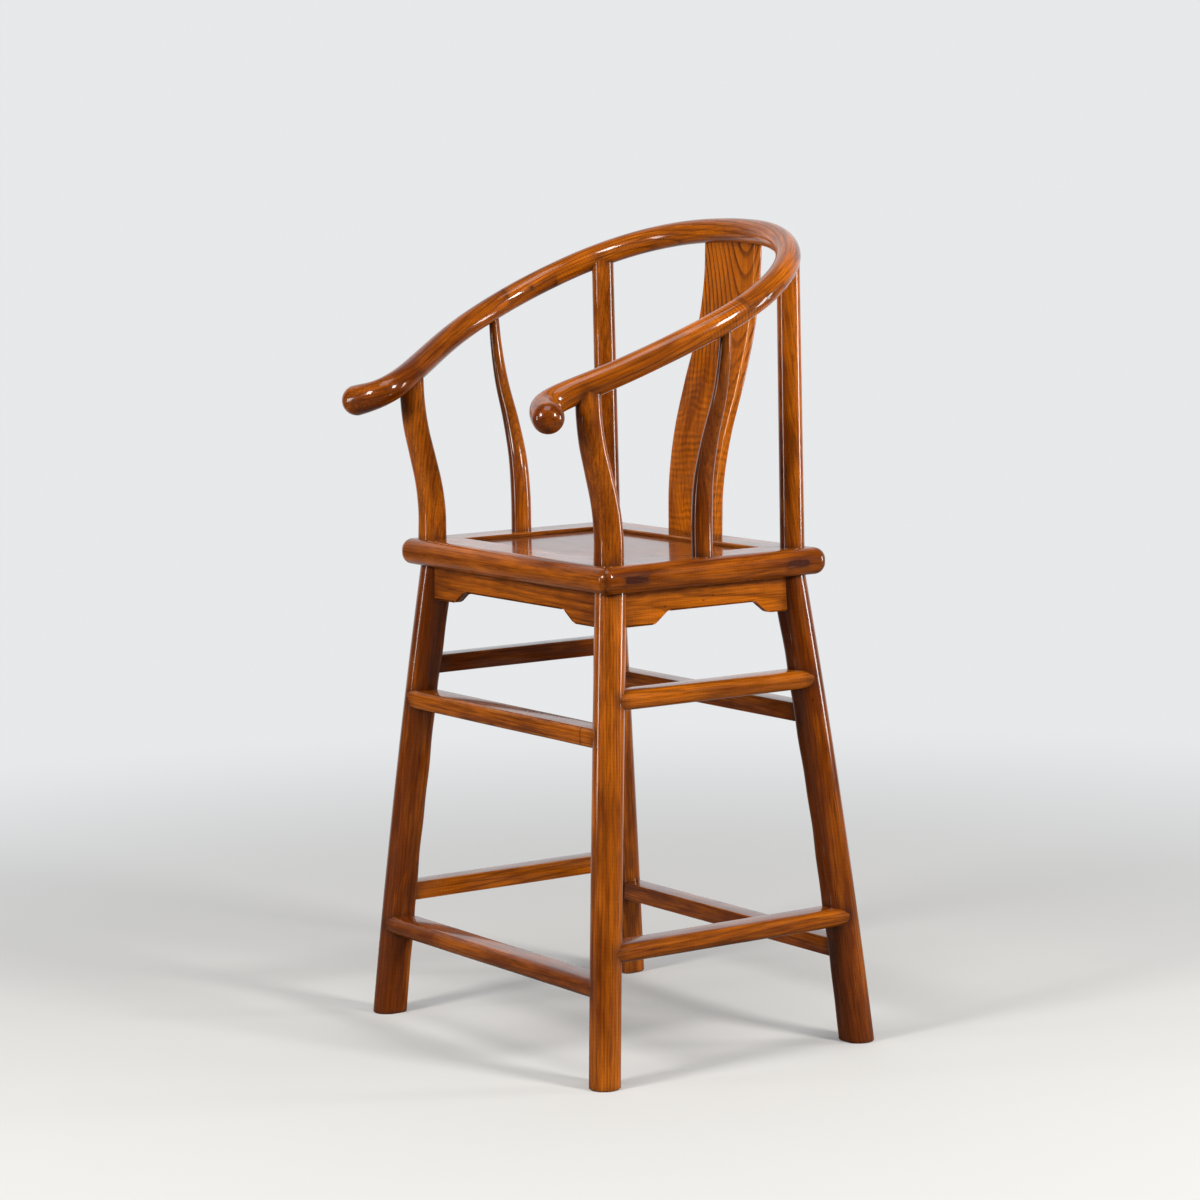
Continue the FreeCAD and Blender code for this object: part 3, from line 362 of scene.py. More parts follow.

# Handling and painted shade: rubbed edges, dirt with painted shade darkening the joints and the feet, and small
# dark nicks
handling_and_shade = bpy.data.node_groups.new("handling_and_painted_shade", "ShaderNodeTree")
given, put = add_sockets(
    handling_and_shade, (("Place", "Vector"), ("Nick Density", "Float", 0.05)), ("Worn", "Dirt", "Nicks"))
place = given["Place"]
rub = join_node(handling_and_shade, "ShaderNodeAttribute", {}, attribute_name="rub").outputs["Fac"]
broken = spread(handling_and_shade, patchy(handling_and_shade, place, (120, 120, 30), 3.0), 0.35, 0.65)
handling_and_shade.links.new(calculate(handling_and_shade, "MULTIPLY", rub, broken), put["Worn"])
# Dark patches near joints and at the feet: dirt, with painted shade.
near = join_node(handling_and_shade, "ShaderNodeAttribute", {}, attribute_name="near_joint").outputs["Fac"]
blotch = spread(handling_and_shade, patchy(handling_and_shade, place, (90, 90, 60), 3.0), 0.25, 0.7, 0.45, 1.0)
handling_and_shade.links.new(calculate(handling_and_shade, "MULTIPLY", near, blotch), put["Dirt"])
cells = join_node(handling_and_shade, "ShaderNodeTexVoronoi", {
    "Vector": shift(handling_and_shade, "MULTIPLY", place, (90, 90, 45)), "Scale": 1.0}).outputs
chance = join_node(handling_and_shade, "ShaderNodeSeparateColor", {0: cells["Color"]}).outputs[0]
chosen = calculate(handling_and_shade, "LESS_THAN", chance, given["Nick Density"])
nick = spread(handling_and_shade, cells["Distance"], 0.05, 0.16, 1.0, 0.0)
handling_and_shade.links.new(calculate(handling_and_shade, "MULTIPLY", chosen, nick), put["Nicks"])

# Lacquer film: smoother and rougher patches, and the slight waves left by hand planing under it
film = bpy.data.node_groups.new("lacquer_film", "ShaderNodeTree")
given, put = add_sockets(film, (
    ("Place", "Vector"), ("Fibre", "Float", 0.5), ("Rings", "Float", 0.0), ("Nicks", "Float", 0.0),
    ("Dirt", "Float", 0.0)), ("Roughness", "Height"))
dull = spread(film, patchy(film, given["Place"], (40, 40, 20), 3.0), 0.3, 0.75, 0.24, 0.40)
film.links.new(calculate(film, "MULTIPLY_ADD", given["Dirt"], 0.25, dull), put["Roughness"])
height = calculate(film, "MULTIPLY", patchy(film, given["Place"], (38, 38, 16), 1.0), 0.4)
for mark, depth in (("Fibre", 0.05), ("Rings", -0.03), ("Nicks", -0.25)):
    height = calculate(film, "MULTIPLY_ADD", given[mark], depth, height)
film.links.new(height, put["Height"])


def lacquered_elm(name, ring_width, rise, waver, light=(0.46, 0.115, 0.003, 1), deep=(0.13, 0.025, 0.001, 1),
                  line=(0.055, 0.010, 0.001, 1), rings=0.7, streaks=1.0, curl=0.05, curl_fade=None,
                  curl_length=0.005, knots=()):
    """Clear lacquer over stained elm, with its own colours and its own cut from the log."""
    worn_colour, dirt_and_shade_colour = (0.56, 0.19, 0.02, 1), (0.030, 0.007, 0.002, 1)
    material = bpy.data.materials.new(name)
    material.use_nodes = True
    tree = material.node_tree
    shader = tree.nodes["Principled BSDF"]
    place = join_node(tree, "ShaderNodeAttribute", {}, attribute_name="grain_place").outputs["Vector"]
    stain = join_node(tree, "ShaderNodeAttribute", {}, attribute_name="stain").outputs["Fac"]
    wood = join_node(tree, "ShaderNodeGroup", {
        "Place": place, "Ring Width": ring_width, "Rise": rise, "Waver": waver, "Curl Length": curl_length},
        node_tree=growth).outputs
    wear = join_node(tree, "ShaderNodeGroup", {
        "Place": place, "Nick Density": 0.05}, node_tree=handling_and_shade).outputs
    patches = spread(tree, wood["Tone"], 0.32, 0.68, -0.42, 0.38)
    colour = mixed(tree, calculate(tree, "ADD", stain, patches), deep, light)
    ring_depth, curl_depth = calculate(tree, "MULTIPLY", wood["Rings"], rings), curl
    if curl_fade:
        along = join_node(tree, "ShaderNodeSeparateXYZ", {0: place}).outputs["Z"]
        curl_depth = spread(tree, along, *curl_fade, curl, 0.04)
        ring_depth = calculate(tree, "MULTIPLY", ring_depth, spread(tree, along, *curl_fade, 0.3, 1.0))
    colour = mixed(tree, ring_depth, colour, line)
    colour = mixed(tree, calculate(tree, "MULTIPLY", wood["Pores"], 0.6 * streaks), colour, line)
    streak = spread(tree, wood["Fibre"], 0.38, 0.62, 1 - 0.34 * streaks, 1 + 0.24 * streaks)
    shine = calculate(tree, "MULTIPLY", streak, calculate(tree, "MULTIPLY_ADD", wood["Curl"], curl_depth, 1.0))
    colour = join_node(tree, "ShaderNodeVectorMath", {0: colour, "Scale": shine}, operation="SCALE").outputs[0]
    colour = mixed(tree, calculate(tree, "MULTIPLY", wear["Worn"], 0.4), colour, worn_colour)
    # Joints and feet darken with dirt and with painted shade, and nicks darken too.
    dark = calculate(tree, "MULTIPLY", calculate(tree, "MAXIMUM", wear["Dirt"], wear["Nicks"]), 0.7)
    for middle, halves, hollow in knots:
        spot = join_node(tree, "ShaderNodeTexCoord", {}).outputs["Object"]
        far = measure(tree, "LENGTH", shift(tree, "DIVIDE", shift(tree, "SUBTRACT", spot, middle), halves))
        shade = spread(tree, far, 0.55, 1.25, 0.85, 0.0)
        if hollow:
            shade = spread(tree, far, 1.0, 1.15, 0.6, 0.0)
            shade = calculate(tree, "MULTIPLY", shade, spread(tree, far, 0.8, 0.95))
        dark = calculate(tree, "MAXIMUM", dark, shade)
    surface = join_node(tree, "ShaderNodeGroup", {
        "Place": place, "Fibre": wood["Fibre"], "Rings": wood["Rings"], "Nicks": wear["Nicks"],
        "Dirt": wear["Dirt"]}, node_tree=film).outputs
    bump = join_node(tree, "ShaderNodeBump", {"Strength": 1.0, "Distance": 0.0012, "Height": surface["Height"]})
    tree.links.new(mixed(tree, dark, colour, dirt_and_shade_colour), shader.inputs["Base Color"])
    tree.links.new(surface["Roughness"], shader.inputs["Roughness"])
    tree.links.new(bump.outputs[0], shader.inputs["Normal"])
    shader.inputs["Specular IOR Level"].default_value = 0.05
    shader.inputs["Coat Weight"].default_value = 0.9
    shader.inputs["Coat IOR"].default_value = 1.37
    shader.inputs["Coat Roughness"].default_value = 0.1
    return material


leg_wood = lacquered_elm("leg_wood", ring_width=0.0042, rise=0.004, waver=0.004, rings=0.38)

# How light the stain is at the foot, the leg, the post's foot and its head, and how much painted shade darkens
# the timber towards the camera's left
leg_stains_and_side_shade = {
    "front_left": ((0.5, 0.57, 0.14, 0.38), 0.2), "front_right": ((-0.06, -0.06, 0.57, 0.42), 0.1),
    "rear_left": ((-0.15, 0.0, 0.18, 0.58), 0.34), "rear_right": ((0.25, 0.3, 0.1, 0.62), 0.2)}


def leg_ring(middle, height, sign_x, sign_y, reach_at):
    """Points round a leg or post at one height; reach_at says how far out they are at an angle."""
    angles = [2 * math.pi * step / ring_steps for step in range(ring_steps)]
    return [(middle[0] + sign_x * reach_at(angle) * math.cos(angle),
             seat_back + middle[1] + sign_y * reach_at(angle) * math.sin(angle), height) for angle in angles]


def leg_bow_at(share):
    """How far a leg bows outwards at a share of its height."""
    return leg_bow * 4 * share * (1 - share)


for sign_y, end in ((-1, "front"), (1, "rear")):
    for sign_x, side in ((1, "left"), (-1, "right")):
        seed = (sign_x + 2 * sign_y) * 1.7
        rings = []
        for height in [0, foot_ease] + np.linspace(0.004, seat_under, 170).tolist():
            share = height / seat_under
            middle = [sign * (low + (high - low) * share + leg_bow_at(share))
                      for sign, low, high in zip((sign_x, sign_y), foot_spread, leg_top)]
            softness = smooth_between((0, 0.25, 0.5, 0.75, 1), leg_softness, share)[0]
            waney = 0.0011 * math.sin(31 * height + seed) + 0.0008 * math.sin(83 * height + 2 * seed)
            corner = foot_corner + (leg_corner - foot_corner) * softness + waney * min(1, height / 0.1)
            corner = max(corner, sharpest_corner)
            radius = leg_radius - (foot_ease if height == 0 else 0)
            rings.append(leg_ring(
                middle, height, sign_x, sign_y, lambda angle: squared_round(angle, radius, corner)
                if math.pi < angle < 1.5 * math.pi else radius))
        head, foot = post_heads[end], (post_foot[0], sign_y * post_foot[1])
        for height in np.linspace(seat_under, head[2], 110):
            share = max(0, (height - seat_top) / (head[2] - seat_top))
            lean = smooth_between(marks, front_post_lean, share)[0] if end == "front" else share
            half = (post_widths[end][0] + (post_widths[end][1] - post_widths[end][0]) * share) / 2
            middle = [sign_x * (foot[0] + (head[0] - foot[0]) * lean), foot[1] + (head[1] - foot[1]) * lean]
            rings.append(leg_ring(
                middle, height, sign_x, sign_y, lambda angle: squared_round(angle, half, post_corner)
                if end == "front" else half))
        label = "%s_%s_leg" % (end, side)
        leg = timber(label + "_timber", rings)
        stains, across = leg_stains_and_side_shade["%s_%s" % (end, side)]
        stain = np.interp(heights_of(rings), (0, 0.2, seat_under, seat_top, head[2]), stains[:2] + stains[1:])
        # The stain carries painted shade: each leg and post is darker on its side towards the camera's left.
        lay_grain(leg, (sign_x * foot_spread[0], seat_back + sign_y * foot_spread[1], 0),
                  (sign_x * post_foot[0], seat_back + sign_y * post_foot[1], seat_top),
                  (0.07 + 0.013 * seed, 0.04, seed), turn=20 * seed, stain=stain + painted_side_shade(rings, across))
        leg.data.materials.append(leg_wood)
        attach(leg, "root")
        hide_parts(label)


# Side posts, one in the middle of each side: a slender S-curve, tenoned into the seat rail and
# tapered to a thin tip under the arm.

side_post_foot, side_post_head = (0.2065, -0.0001), (0.2643, -0.0001, 0.9244)
side_post_lean, side_post_taper = (0, 0, 0.09, 0.35, 0.70, 0.90, 1), (0, 0.02, 0.16, 0.38, 0.62, 0.82, 1)
side_post_widths, side_post_steps = (0.0265, 0.0128), 40
side_post_stains = {"left": (-0.12, 0.22), "right": (0.12, 0.28)}
for sign_x, side in ((1, "left"), (-1, "right")):
    rings = []
    for height in np.linspace(seat_top - 0.004, side_post_head[2], 70):
        share = max(0, (height - seat_top) / (side_post_head[2] - seat_top))
        lean = smooth_between(marks, side_post_lean, share)[0]
        taper = smooth_between(marks, side_post_taper, share)[0]
        radius = (side_post_widths[0] + (side_post_widths[1] - side_post_widths[0]) * taper) / 2
        middle = sign_x * (side_post_foot[0] + (side_post_head[0] - side_post_foot[0]) * lean)
        angles = [2 * math.pi * step / side_post_steps for step in range(side_post_steps)]
        rings.append([(middle + radius * math.cos(angle),
                       seat_back + side_post_foot[1] + radius * math.sin(angle), height) for angle in angles])
    post = timber(side + "_side_post_timber", rings)
    # The stain carries painted shade: each side post is darker on its side towards the camera's left.
    stain = np.interp(heights_of(rings), (seat_top, side_post_head[2]), side_post_stains[side])
    lay_grain(post, (0, 0, seat_top), (0, 0, 1), (0.05, 0.03 * sign_x, 3.1 * sign_x),
              stain=stain + painted_side_shade(rings, 0.6))
    post.data.materials.append(leg_wood)
    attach(post, "root")
    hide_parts(side + "_side_post")


# Seat frame: four rails with a bullnose outer edge, mitred at the corners. The front and rear
# rails pass a tenon right through the side rails, and its end grain shows dark on the edge.

frame_half = (0.241, 0.1705)
frame_width, frame_thick = 0.064, 0.034
edge_radius, frame_corner, opening_bevel = 0.015, 0.014, 0.0015
mitre_gap, bevel_margin = 0.00012, 0.0008
bends = [(edge_radius * (1 - math.sin(angle)), edge_radius * (1 - math.cos(angle)))
         for angle in (math.pi / 2 * step / 10 for step in range(11))]
edge_profile = [(inward, frame_thick - down) for inward, down in bends] + [(inward, up) for up, inward in bends]
edge_profile += [(inward, 0) for inward in np.linspace(edge_radius + 0.003, frame_width - 0.003, 12)]
edge_profile += [
    (frame_width, 0), (frame_width, 0.012), (frame_width, 0.026),
    (frame_width, frame_thick - opening_bevel - bevel_margin), (frame_width, frame_thick - opening_bevel),
    (frame_width - opening_bevel, frame_thick), (frame_width - opening_bevel - bevel_margin, frame_thick)]
edge_profile += [(inward, frame_thick) for inward in np.linspace(frame_width - 0.005, edge_radius + 0.001, 14)]


def chair_place(crosswise, sign):
    """Turns along, out and up, seen from one side of the chair, into the chair's own directions."""
    if crosswise:
        return lambda along, out, up: (along, seat_back + sign * out, up)
    return lambda along, out, up: (sign * out, seat_back + along, up)


def frame_rail(name, half_along, half_across, place_point):
    """One rail from mitre to mitre, round its corners and straight between them."""
    straight = half_along - frame_corner
    stations = [(-1, swing) for swing in np.linspace(45, 0, 7)]
    stations += [(0, along) for along in np.linspace(-straight, straight, 150)[1:-1]]
    stations += [(1, swing) for swing in np.linspace(0, 45, 7)]
    rings = []
    for end, number in stations:
        ring = []
        for inward, up in edge_profile:
            limit, out = half_along - inward, half_across - inward
            along = end * limit if end else max(-limit, min(limit, number))
            if end and inward < frame_corner:
                swing = math.radians(number)
                along = end * (straight + (frame_corner - inward) * math.sin(swing))
                out = half_across - frame_corner + (frame_corner - inward) * math.cos(swing)
            ring.append(place_point(along - end * mitre_gap, out, seat_under + up))
        rings.append(ring)
    return timber(name, rings)


stretcher_line = ((0.188, -0.145, 0.4215), (0.001, 0.04, 0.02), False)
apron_crack = ((0.172, -0.1285, 0.5593), (0.022, 0.01, 0.0009), False)
stretcher_knot = ((-0.232, 0.0239, 0.4778), (0.0035, 0.007, 0.004), False)
cross_wood = lacquered_elm("cross_wood", ring_width=0.0055, rise=0.012, waver=0.006, rings=0.36,
                           knots=(stretcher_line, apron_crack))
side_wood = lacquered_elm("side_wood", ring_width=0.0065, rise=0.03, waver=0.010, rings=0.5,
                          knots=(stretcher_knot,))
chair_sides = (("front", True, -1), ("rear", True, 1), ("left", False, 1), ("right", False, -1))
for side, crosswise, sign in chair_sides:
    half_along, half_across = frame_half if crosswise else frame_half[::-1]
    rail = frame_rail("seat_%s_rail_timber" % side, half_along, half_across, chair_place(crosswise, sign))
    if crosswise:
        lay_grain(rail, (0, 0, seat_top), (1, 0, seat_top), (0.02, 0.06 * sign, 5.0 * sign), stain=0.48)
    else:
        lay_grain(rail, (0, 0, seat_top), (0, 1, seat_top), (0.035, 0.05 * sign, 7.3 * sign), stain=0.32)
    rail.data.materials.append(cross_wood if crosswise else side_wood)
    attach(rail, "root")
    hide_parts("seat_%s_rail" % side)

tenon_wide, tenon_thick, tenon_inner, tenon_steps = 0.032, 0.009, 0.1065, 32
end_grain = lacquered_elm("end_grain", ring_width=0.003, rise=0.0, waver=0.003, light=(0.11, 0.024, 0.013, 1),
                          deep=(0.065, 0.014, 0.009, 1), line=(0.03, 0.007, 0.005, 1))
for sign_y, end in ((-1, "front"), (1, "rear")):
    for sign_x, side in ((1, "left"), (-1, "right")):
        rings = []
        middle_y, middle_z = seat_back + sign_y * (tenon_inner + tenon_wide / 2), seat_under + frame_thick / 2
        for beyond, ease in ((-0.02, 0), (-0.0006, 0), (0.0001, 0.0004)):
            ring = []
            for step in range(tenon_steps):
                angle = 2 * math.pi * (step + 0.5) / tenon_steps
                reach = squared_round(angle, 1, 0.12)
                ring.append((sign_x * (frame_half[0] + beyond),
                             middle_y + sign_y * reach * math.cos(angle) * (tenon_wide / 2 - ease),
                             middle_z + reach * math.sin(angle) * (tenon_thick / 2 - ease)))
            rings.append(ring)
        tenon = timber("%s_%s_tenon_end" % (end, side), rings)
        lay_grain(tenon, (0, 0, 0), (1, 0, 0), (0.06, 0.02 * sign_y, 1.0))
        tenon.data.materials.append(end_grain)
        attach(tenon, "root")


# Seat panel and batten: one thin board floats in the frame's groove, and a dovetailed batten
# under it keeps it flat.

panel_half = (frame_half[0] - frame_width - 0.0003, frame_half[1] - frame_width - 0.0003)
panel_low, panel_high, panel_ease = 0.6146, 0.6266, 0.0006
batten_half, batten_reach, batten_low, batten_top, batten_ease = 0.018, 0.1185, 0.6016, 0.6186, 0.001
panel_wood = lacquered_elm("panel_wood", ring_width=0.007, rise=0.05, waver=0.012)


def board(name, outline, low, high, place_point, ease):
    """A flat board with an outline, eased along all its edges, with an unworn margin inside them."""
    shape = bmesh.new()
    face = shape.faces.new([shape.verts.new(place_point(along, up, low)) for along, up in outline])
    depth = Vector(place_point(0, 0, high)) - Vector(place_point(0, 0, low))
    drawn = bmesh.ops.extrude_face_region(shape, geom=[face])["geom"]
    drawn = [item for item in drawn if isinstance(item, bmesh.types.BMVert)]
    bmesh.ops.translate(shape, verts=drawn, vec=depth)
    bmesh.ops.recalc_face_normals(shape, faces=shape.faces)
    sharp = [edge for edge in shape.edges if edge.calc_face_angle(0) > math.radians(25)]
    bmesh.ops.bevel(shape, geom=sharp, offset=ease, segments=3, profile=0.5, affect="EDGES", clamp_overlap=True)
    rub_layer = shape.verts.layers.float.new("rub")
    for vert in shape.verts:
        vert[rub_layer] = 0.8
    for face in [face for face in shape.faces if face.calc_area() > 12 * ease * ease]:
        bmesh.ops.inset_individual(shape, faces=[face], thickness=min(0.0015, ease * 1.5), use_even_offset=True)
        for vert in face.verts:
            vert[rub_layer] = 0.0
    mesh = bpy.data.meshes.new(name)
    shape.to_mesh(mesh)
    shape.free()
    return settle(name, mesh)


panel_outline = [(x * panel_half[0], y * panel_half[1]) for x, y in ((-1, -1), (1, -1), (1, 1), (-1, 1))]
panel = board("seat_panel_board", panel_outline, panel_low, panel_high,
              lambda along, across, up: (along, seat_back + across, up), panel_ease)
lay_grain(panel, (0, 0, seat_top), (1, 0, seat_top), (0.03, 0.07, 11.0))
panel.data.materials.append(panel_wood)
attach(panel, "root")
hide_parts("seat_panel")

batten_outline = [(-batten_half, batten_low), (batten_half, batten_low),
                  (batten_half, batten_top), (-batten_half, batten_top)]
batten = board("seat_batten_bar", batten_outline, -batten_reach, batten_reach,
               lambda across, up, along: (across, seat_back + along, up), batten_ease)
lay_grain(batten, (0, 0, batten_low), (0, 1, batten_low), (0.04, 0.02, 2.0))
batten.data.materials.append(side_wood)
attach(batten, "root")
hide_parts("seat_batten")


# Aprons: four thin boards under the frame, each with an arch cut between two small brackets with
# an S-shaped step, let into the legs at their ends.

apron_low, apron_high, apron_rise = seat_under - 0.0438, seat_under + 0.004, 0.0152
apron_thick, apron_ease, step_round = 0.010, 0.0009, 0.008
apron_inset, apron_setback = 0.00975, 0.0115
cross_arch, side_arch = (0.231, 0.023, 0.0), (0.132, 0.019, 0.007)  # width, step and how far aside
apron_stains = (0.42, 0.45, 1.35, 0.5)


def apron_outline(half_length, arch, step, aside):
    """Outline seen from the face, with the corners of each step rounded into an S."""
    half_arch, half_foot, arch_high = arch / 2, arch / 2 + step, apron_low + apron_rise
    corners = [(-half_length, apron_low), (aside - half_foot, apron_low), (aside - half_arch, arch_high),
               (aside + half_arch, arch_high), (aside + half_foot, apron_low), (half_length, apron_low),
               (half_length, apron_high), (-half_length, apron_high)]
    outline = []
    for n, corner in enumerate(corners):
        if n not in (1, 2, 3, 4):
            outline.append(corner)
            continue
        here = Vector(corner)
        before, after = ((Vector(corners[beside]) - here).normalized() for beside in (n - 1, n + 1))
        half_angle = before.angle(after) / 2
        cut = step_round / math.tan(half_angle)
        middle = here + (before + after).normalized() * step_round / math.sin(half_angle)
        first, last = here + before * cut - middle, here + after * cut - middle
        for share in np.linspace(0, 1, 7):
            outline.append(tuple(middle + first.lerp(last, share).normalized() * step_round))
    return outline


for (name, crosswise, sign), stain in zip(chair_sides, apron_stains):
    arch, step, aside = cross_arch if crosswise else side_arch
    leg_along, leg_out = leg_top if crosswise else leg_top[::-1]
    outer, to_chair = leg_out + apron_setback, chair_place(crosswise, sign)
    apron = board(name + "_apron_board", apron_outline(leg_along - apron_inset, arch, step, aside),
                  outer - apron_thick, outer, lambda along, up, out: to_chair(along, out, up), apron_ease)
    if crosswise:
        lay_grain(apron, (0, 0, apron_low), (1, 0, apron_low), (0.01, 0.05, 13.0 * sign), stain=stain)
    else:
        lay_grain(apron, (0, 0, apron_low), (0, 1, apron_low), (0.015, 0.045, 17.0 * sign), stain=stain)
    apron.data.materials.append(cross_wood if crosswise else side_wood)
    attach(apron, "root")
    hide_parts(name + "_apron")


# Stretchers: eight bars in two tiers, rounded outside and flat inside, whose shoulders are
# scribed over the round legs. One tree shapes them all.

bar_height, bar_depth, bar_setback = 0.0235, 0.035, 0.0004
bar_rounding, top_front_rounding, bar_ease = 0.010, 0.005, 0.0012
upper_lows, lower_lows = (0.4543, 0.4097), (0.151, 0.1083)  # undersides of the side and the cross bars
bar_stains = (0.46, 0.3, 0.85, 0.04, 0.15, 0.25, 0.4, 0.5)
bar_tree = bpy.data.node_groups.new("stretcher_bar", "GeometryNodeTree")
given, put = add_sockets(bar_tree, (
    ("Start", "Vector"), ("End", "Vector"), ("Outward", "Vector"), ("Height", "Float", 0.0235),
    ("Depth", "Float", 0.035), ("Outer Rounding", "Float", 0.01), ("Inner Rounding", "Float", 0.0012),
    ("Steps", "Int", 60), ("Waver", "Float", 0.0003), ("Seed", "Float", 0.0), ("Wood", "Material")),
    ("Bar",), "Geometry")
profile = join_node(bar_tree, "GeometryNodeCurvePrimitiveQuadrilateral", {
    "Width": given["Depth"], "Height": given["Height"]})
corner_place = join_node(bar_tree, "GeometryNodeInputPosition", {}).outputs[0]
corner_x = join_node(bar_tree, "ShaderNodeSeparateXYZ", {0: corner_place}).outputs[0]
is_outer = join_node(bar_tree, "FunctionNodeCompare", {0: corner_x, 1: 0.0}, operation="GREATER_THAN")
rounding = join_node(bar_tree, "GeometryNodeSwitch", {
    0: is_outer.outputs[0], 1: given["Inner Rounding"], 2: given["Outer Rounding"]}, input_type="FLOAT")
rounded = join_node(bar_tree, "GeometryNodeFilletCurve", {
    "Curve": profile.outputs[0], "Count": 6, "Radius": rounding.outputs[0]}, mode="POLY")
line = join_node(bar_tree, "GeometryNodeCurvePrimitiveLine", {"Start": (0, 0, 0), "End": (0, 0, 1)})
stations = join_node(bar_tree, "GeometryNodeResampleCurve", {"Curve": line.outputs[0], "Count": given["Steps"]})
swept = join_node(bar_tree, "GeometryNodeCurveToMesh", {
    "Curve": stations.outputs[0], "Profile Curve": rounded.outputs[0], "Fill Caps": True})


def scaled(tree, place, factor):
    """A place moved away from zero by a factor."""
    return join_node(tree, "ShaderNodeVectorMath", {0: place, "Scale": factor}, operation="SCALE").outputs[0]


def unevenness(tree, place, density, seed, amount):
    """The small, slow ups and downs of a surface worked by hand."""
    noise = join_node(tree, "ShaderNodeTexNoise", {
        "Vector": scaled(tree, place, density), "W": seed, "Scale": 1.0, "Detail": 1.0}, noise_dimensions="4D")
    return scaled(tree, shift(tree, "SUBTRACT", noise.outputs["Color"], (0.5, 0.5, 0.5)), amount)


out_share, up_share, along_share = join_node(bar_tree, "ShaderNodeSeparateXYZ", {
    0: join_node(bar_tree, "GeometryNodeInputPosition", {}).outputs[0]}).outputs
bar_place = join_node(bar_tree, "ShaderNodeMix", {
    "Factor": along_share, 4: given["Start"], 5: given["End"]}, data_type="VECTOR").outputs[1]
bar_place = shift(bar_tree, "ADD", bar_place, scaled(bar_tree, given["Outward"], out_share))
raised = join_node(bar_tree, "ShaderNodeCombineXYZ", {2: up_share}).outputs[0]
bar_place = shift(bar_tree, "ADD", bar_place, raised)
uneven = unevenness(bar_tree, bar_place, 9.0, given["Seed"], given["Waver"])
bar_place = shift(bar_tree, "ADD", bar_place, uneven)
placed = join_node(bar_tree, "GeometryNodeSetPosition", {"Geometry": swept.outputs[0], "Position": bar_place})
real = join_node(bar_tree, "GeometryNodeRealizeInstances", {"Geometry": placed.outputs[0]})
clad = join_node(bar_tree, "GeometryNodeSetMaterial", {"Geometry": real.outputs[0], "Material": given["Wood"]})
bar_tree.links.new(clad.outputs[0], put["Bar"])


def plain_mesh(name, worked):
    """What an object's modifiers make of it, as a mesh of its own."""
    mesh = bpy.data.meshes.new_from_object(worked.evaluated_get(bpy.context.evaluated_depsgraph_get()))
    mesh.name = name
    return mesh


def grown(name, tree, values, data=None):
    """Run a geometry tree with named values, on a curve if one is given, and keep what it makes."""
    carrier = bpy.data.objects.new(name + "_carrier", data or bpy.data.meshes.new(name + "_carrier"))
    bpy.context.scene.collection.objects.link(carrier)
    modifier = carrier.modifiers.new("shape", "NODES")
    modifier.node_group = tree
    for item in tree.interface.items_tree:
        if item.in_out == "INPUT" and item.name in values:
            modifier[item.identifier] = values[item.name]
    mesh = plain_mesh(name, carrier)
    bpy.data.objects.remove(carrier)
    return mesh


def mark_rub(mesh):
    """Mark the points where the surface bends sharply outwards, from the lengths and turns around them."""
    shape = bmesh.new()
    shape.from_mesh(mesh)
    layer = shape.verts.layers.float.get("rub") or shape.verts.layers.float.new("rub")
    for vert in shape.verts:
        bend = 0
        for edge in vert.link_edges:
            if len(edge.link_faces) == 2:
                widths = sum(face.calc_area() for face in edge.link_faces) / max(edge.calc_length(), 1e-6) / 2
                bend = max(bend, edge.calc_face_angle_signed(0) / max(widths, 1e-5))
        vert[layer] = rub_of(bend)
    shape.to_mesh(mesh)
    shape.free()


bar_plans = [(tier, *side, lows) for tier, lows in (("upper", upper_lows), ("lower", lower_lows))
             for side in chair_sides]
for number, (tier, name, crosswise, sign, lows) in enumerate(bar_plans):
    middle_height = lows[crosswise] + bar_height / 2
    share = middle_height / seat_under
    reaches = [foot + (top - foot) * share + leg_bow_at(share) for foot, top in zip(foot_spread, leg_top)]
    reach, beyond = reaches if crosswise else reaches[::-1]
    offset = beyond + leg_radius - bar_setback - bar_depth / 2
    to_chair = chair_place(crosswise, sign)
    start, end = to_chair(-reach, offset, middle_height), to_chair(reach, offset, middle_height)
    label = "%s_%s_stretcher" % (tier, name)
    bar = settle(label + "_bar", grown(label + "_bar", bar_tree, {
        "Start": start, "End": end, "Outward": (0, sign, 0) if crosswise else (sign, 0, 0),
        "Height": bar_height, "Depth": bar_depth, "Inner Rounding": bar_ease,
        "Outer Rounding": top_front_rounding if label == "upper_front_stretcher" else bar_rounding,
        "Steps": 60, "Waver": 0.0006, "Seed": float(number), "Wood": cross_wood if crosswise else side_wood}))
    mark_rub(bar.data)
    lay_grain(bar, start, end, (0.03 + 0.004 * number, 0.05, 19.0 + 1.3 * number), turn=25 * number,
              stain=bar_stains[number])
    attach(bar, "root")
    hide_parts(label)


# Back splat: one board, bent in an S to the sitter's back and widest at its waist, let into the
# rear seat rail and the crest. Its lower half is curly, its upper half shows arched rings.

splat_width, splat_thick, splat_corner = 0.114, 0.012, 0.0035
splat_foot_y, splat_head_y, splat_head_z = 0.1355, 0.2045, 1.0232
splat_waist, splat_lean = (0.955, 0.97, 1.01, 1.05, 1.01, 0.99, 1), (0, 0.04, 0.20, 0.49, 0.78, 0.94, 1)
heart_beside, heart_behind = 0.036, 0.0405


def splat_y(share):
    """How far back the splat's middle lies at a share of its height."""
    return seat_back + splat_foot_y + (splat_head_y - splat_foot_y) * smooth_between(marks, splat_lean, share)


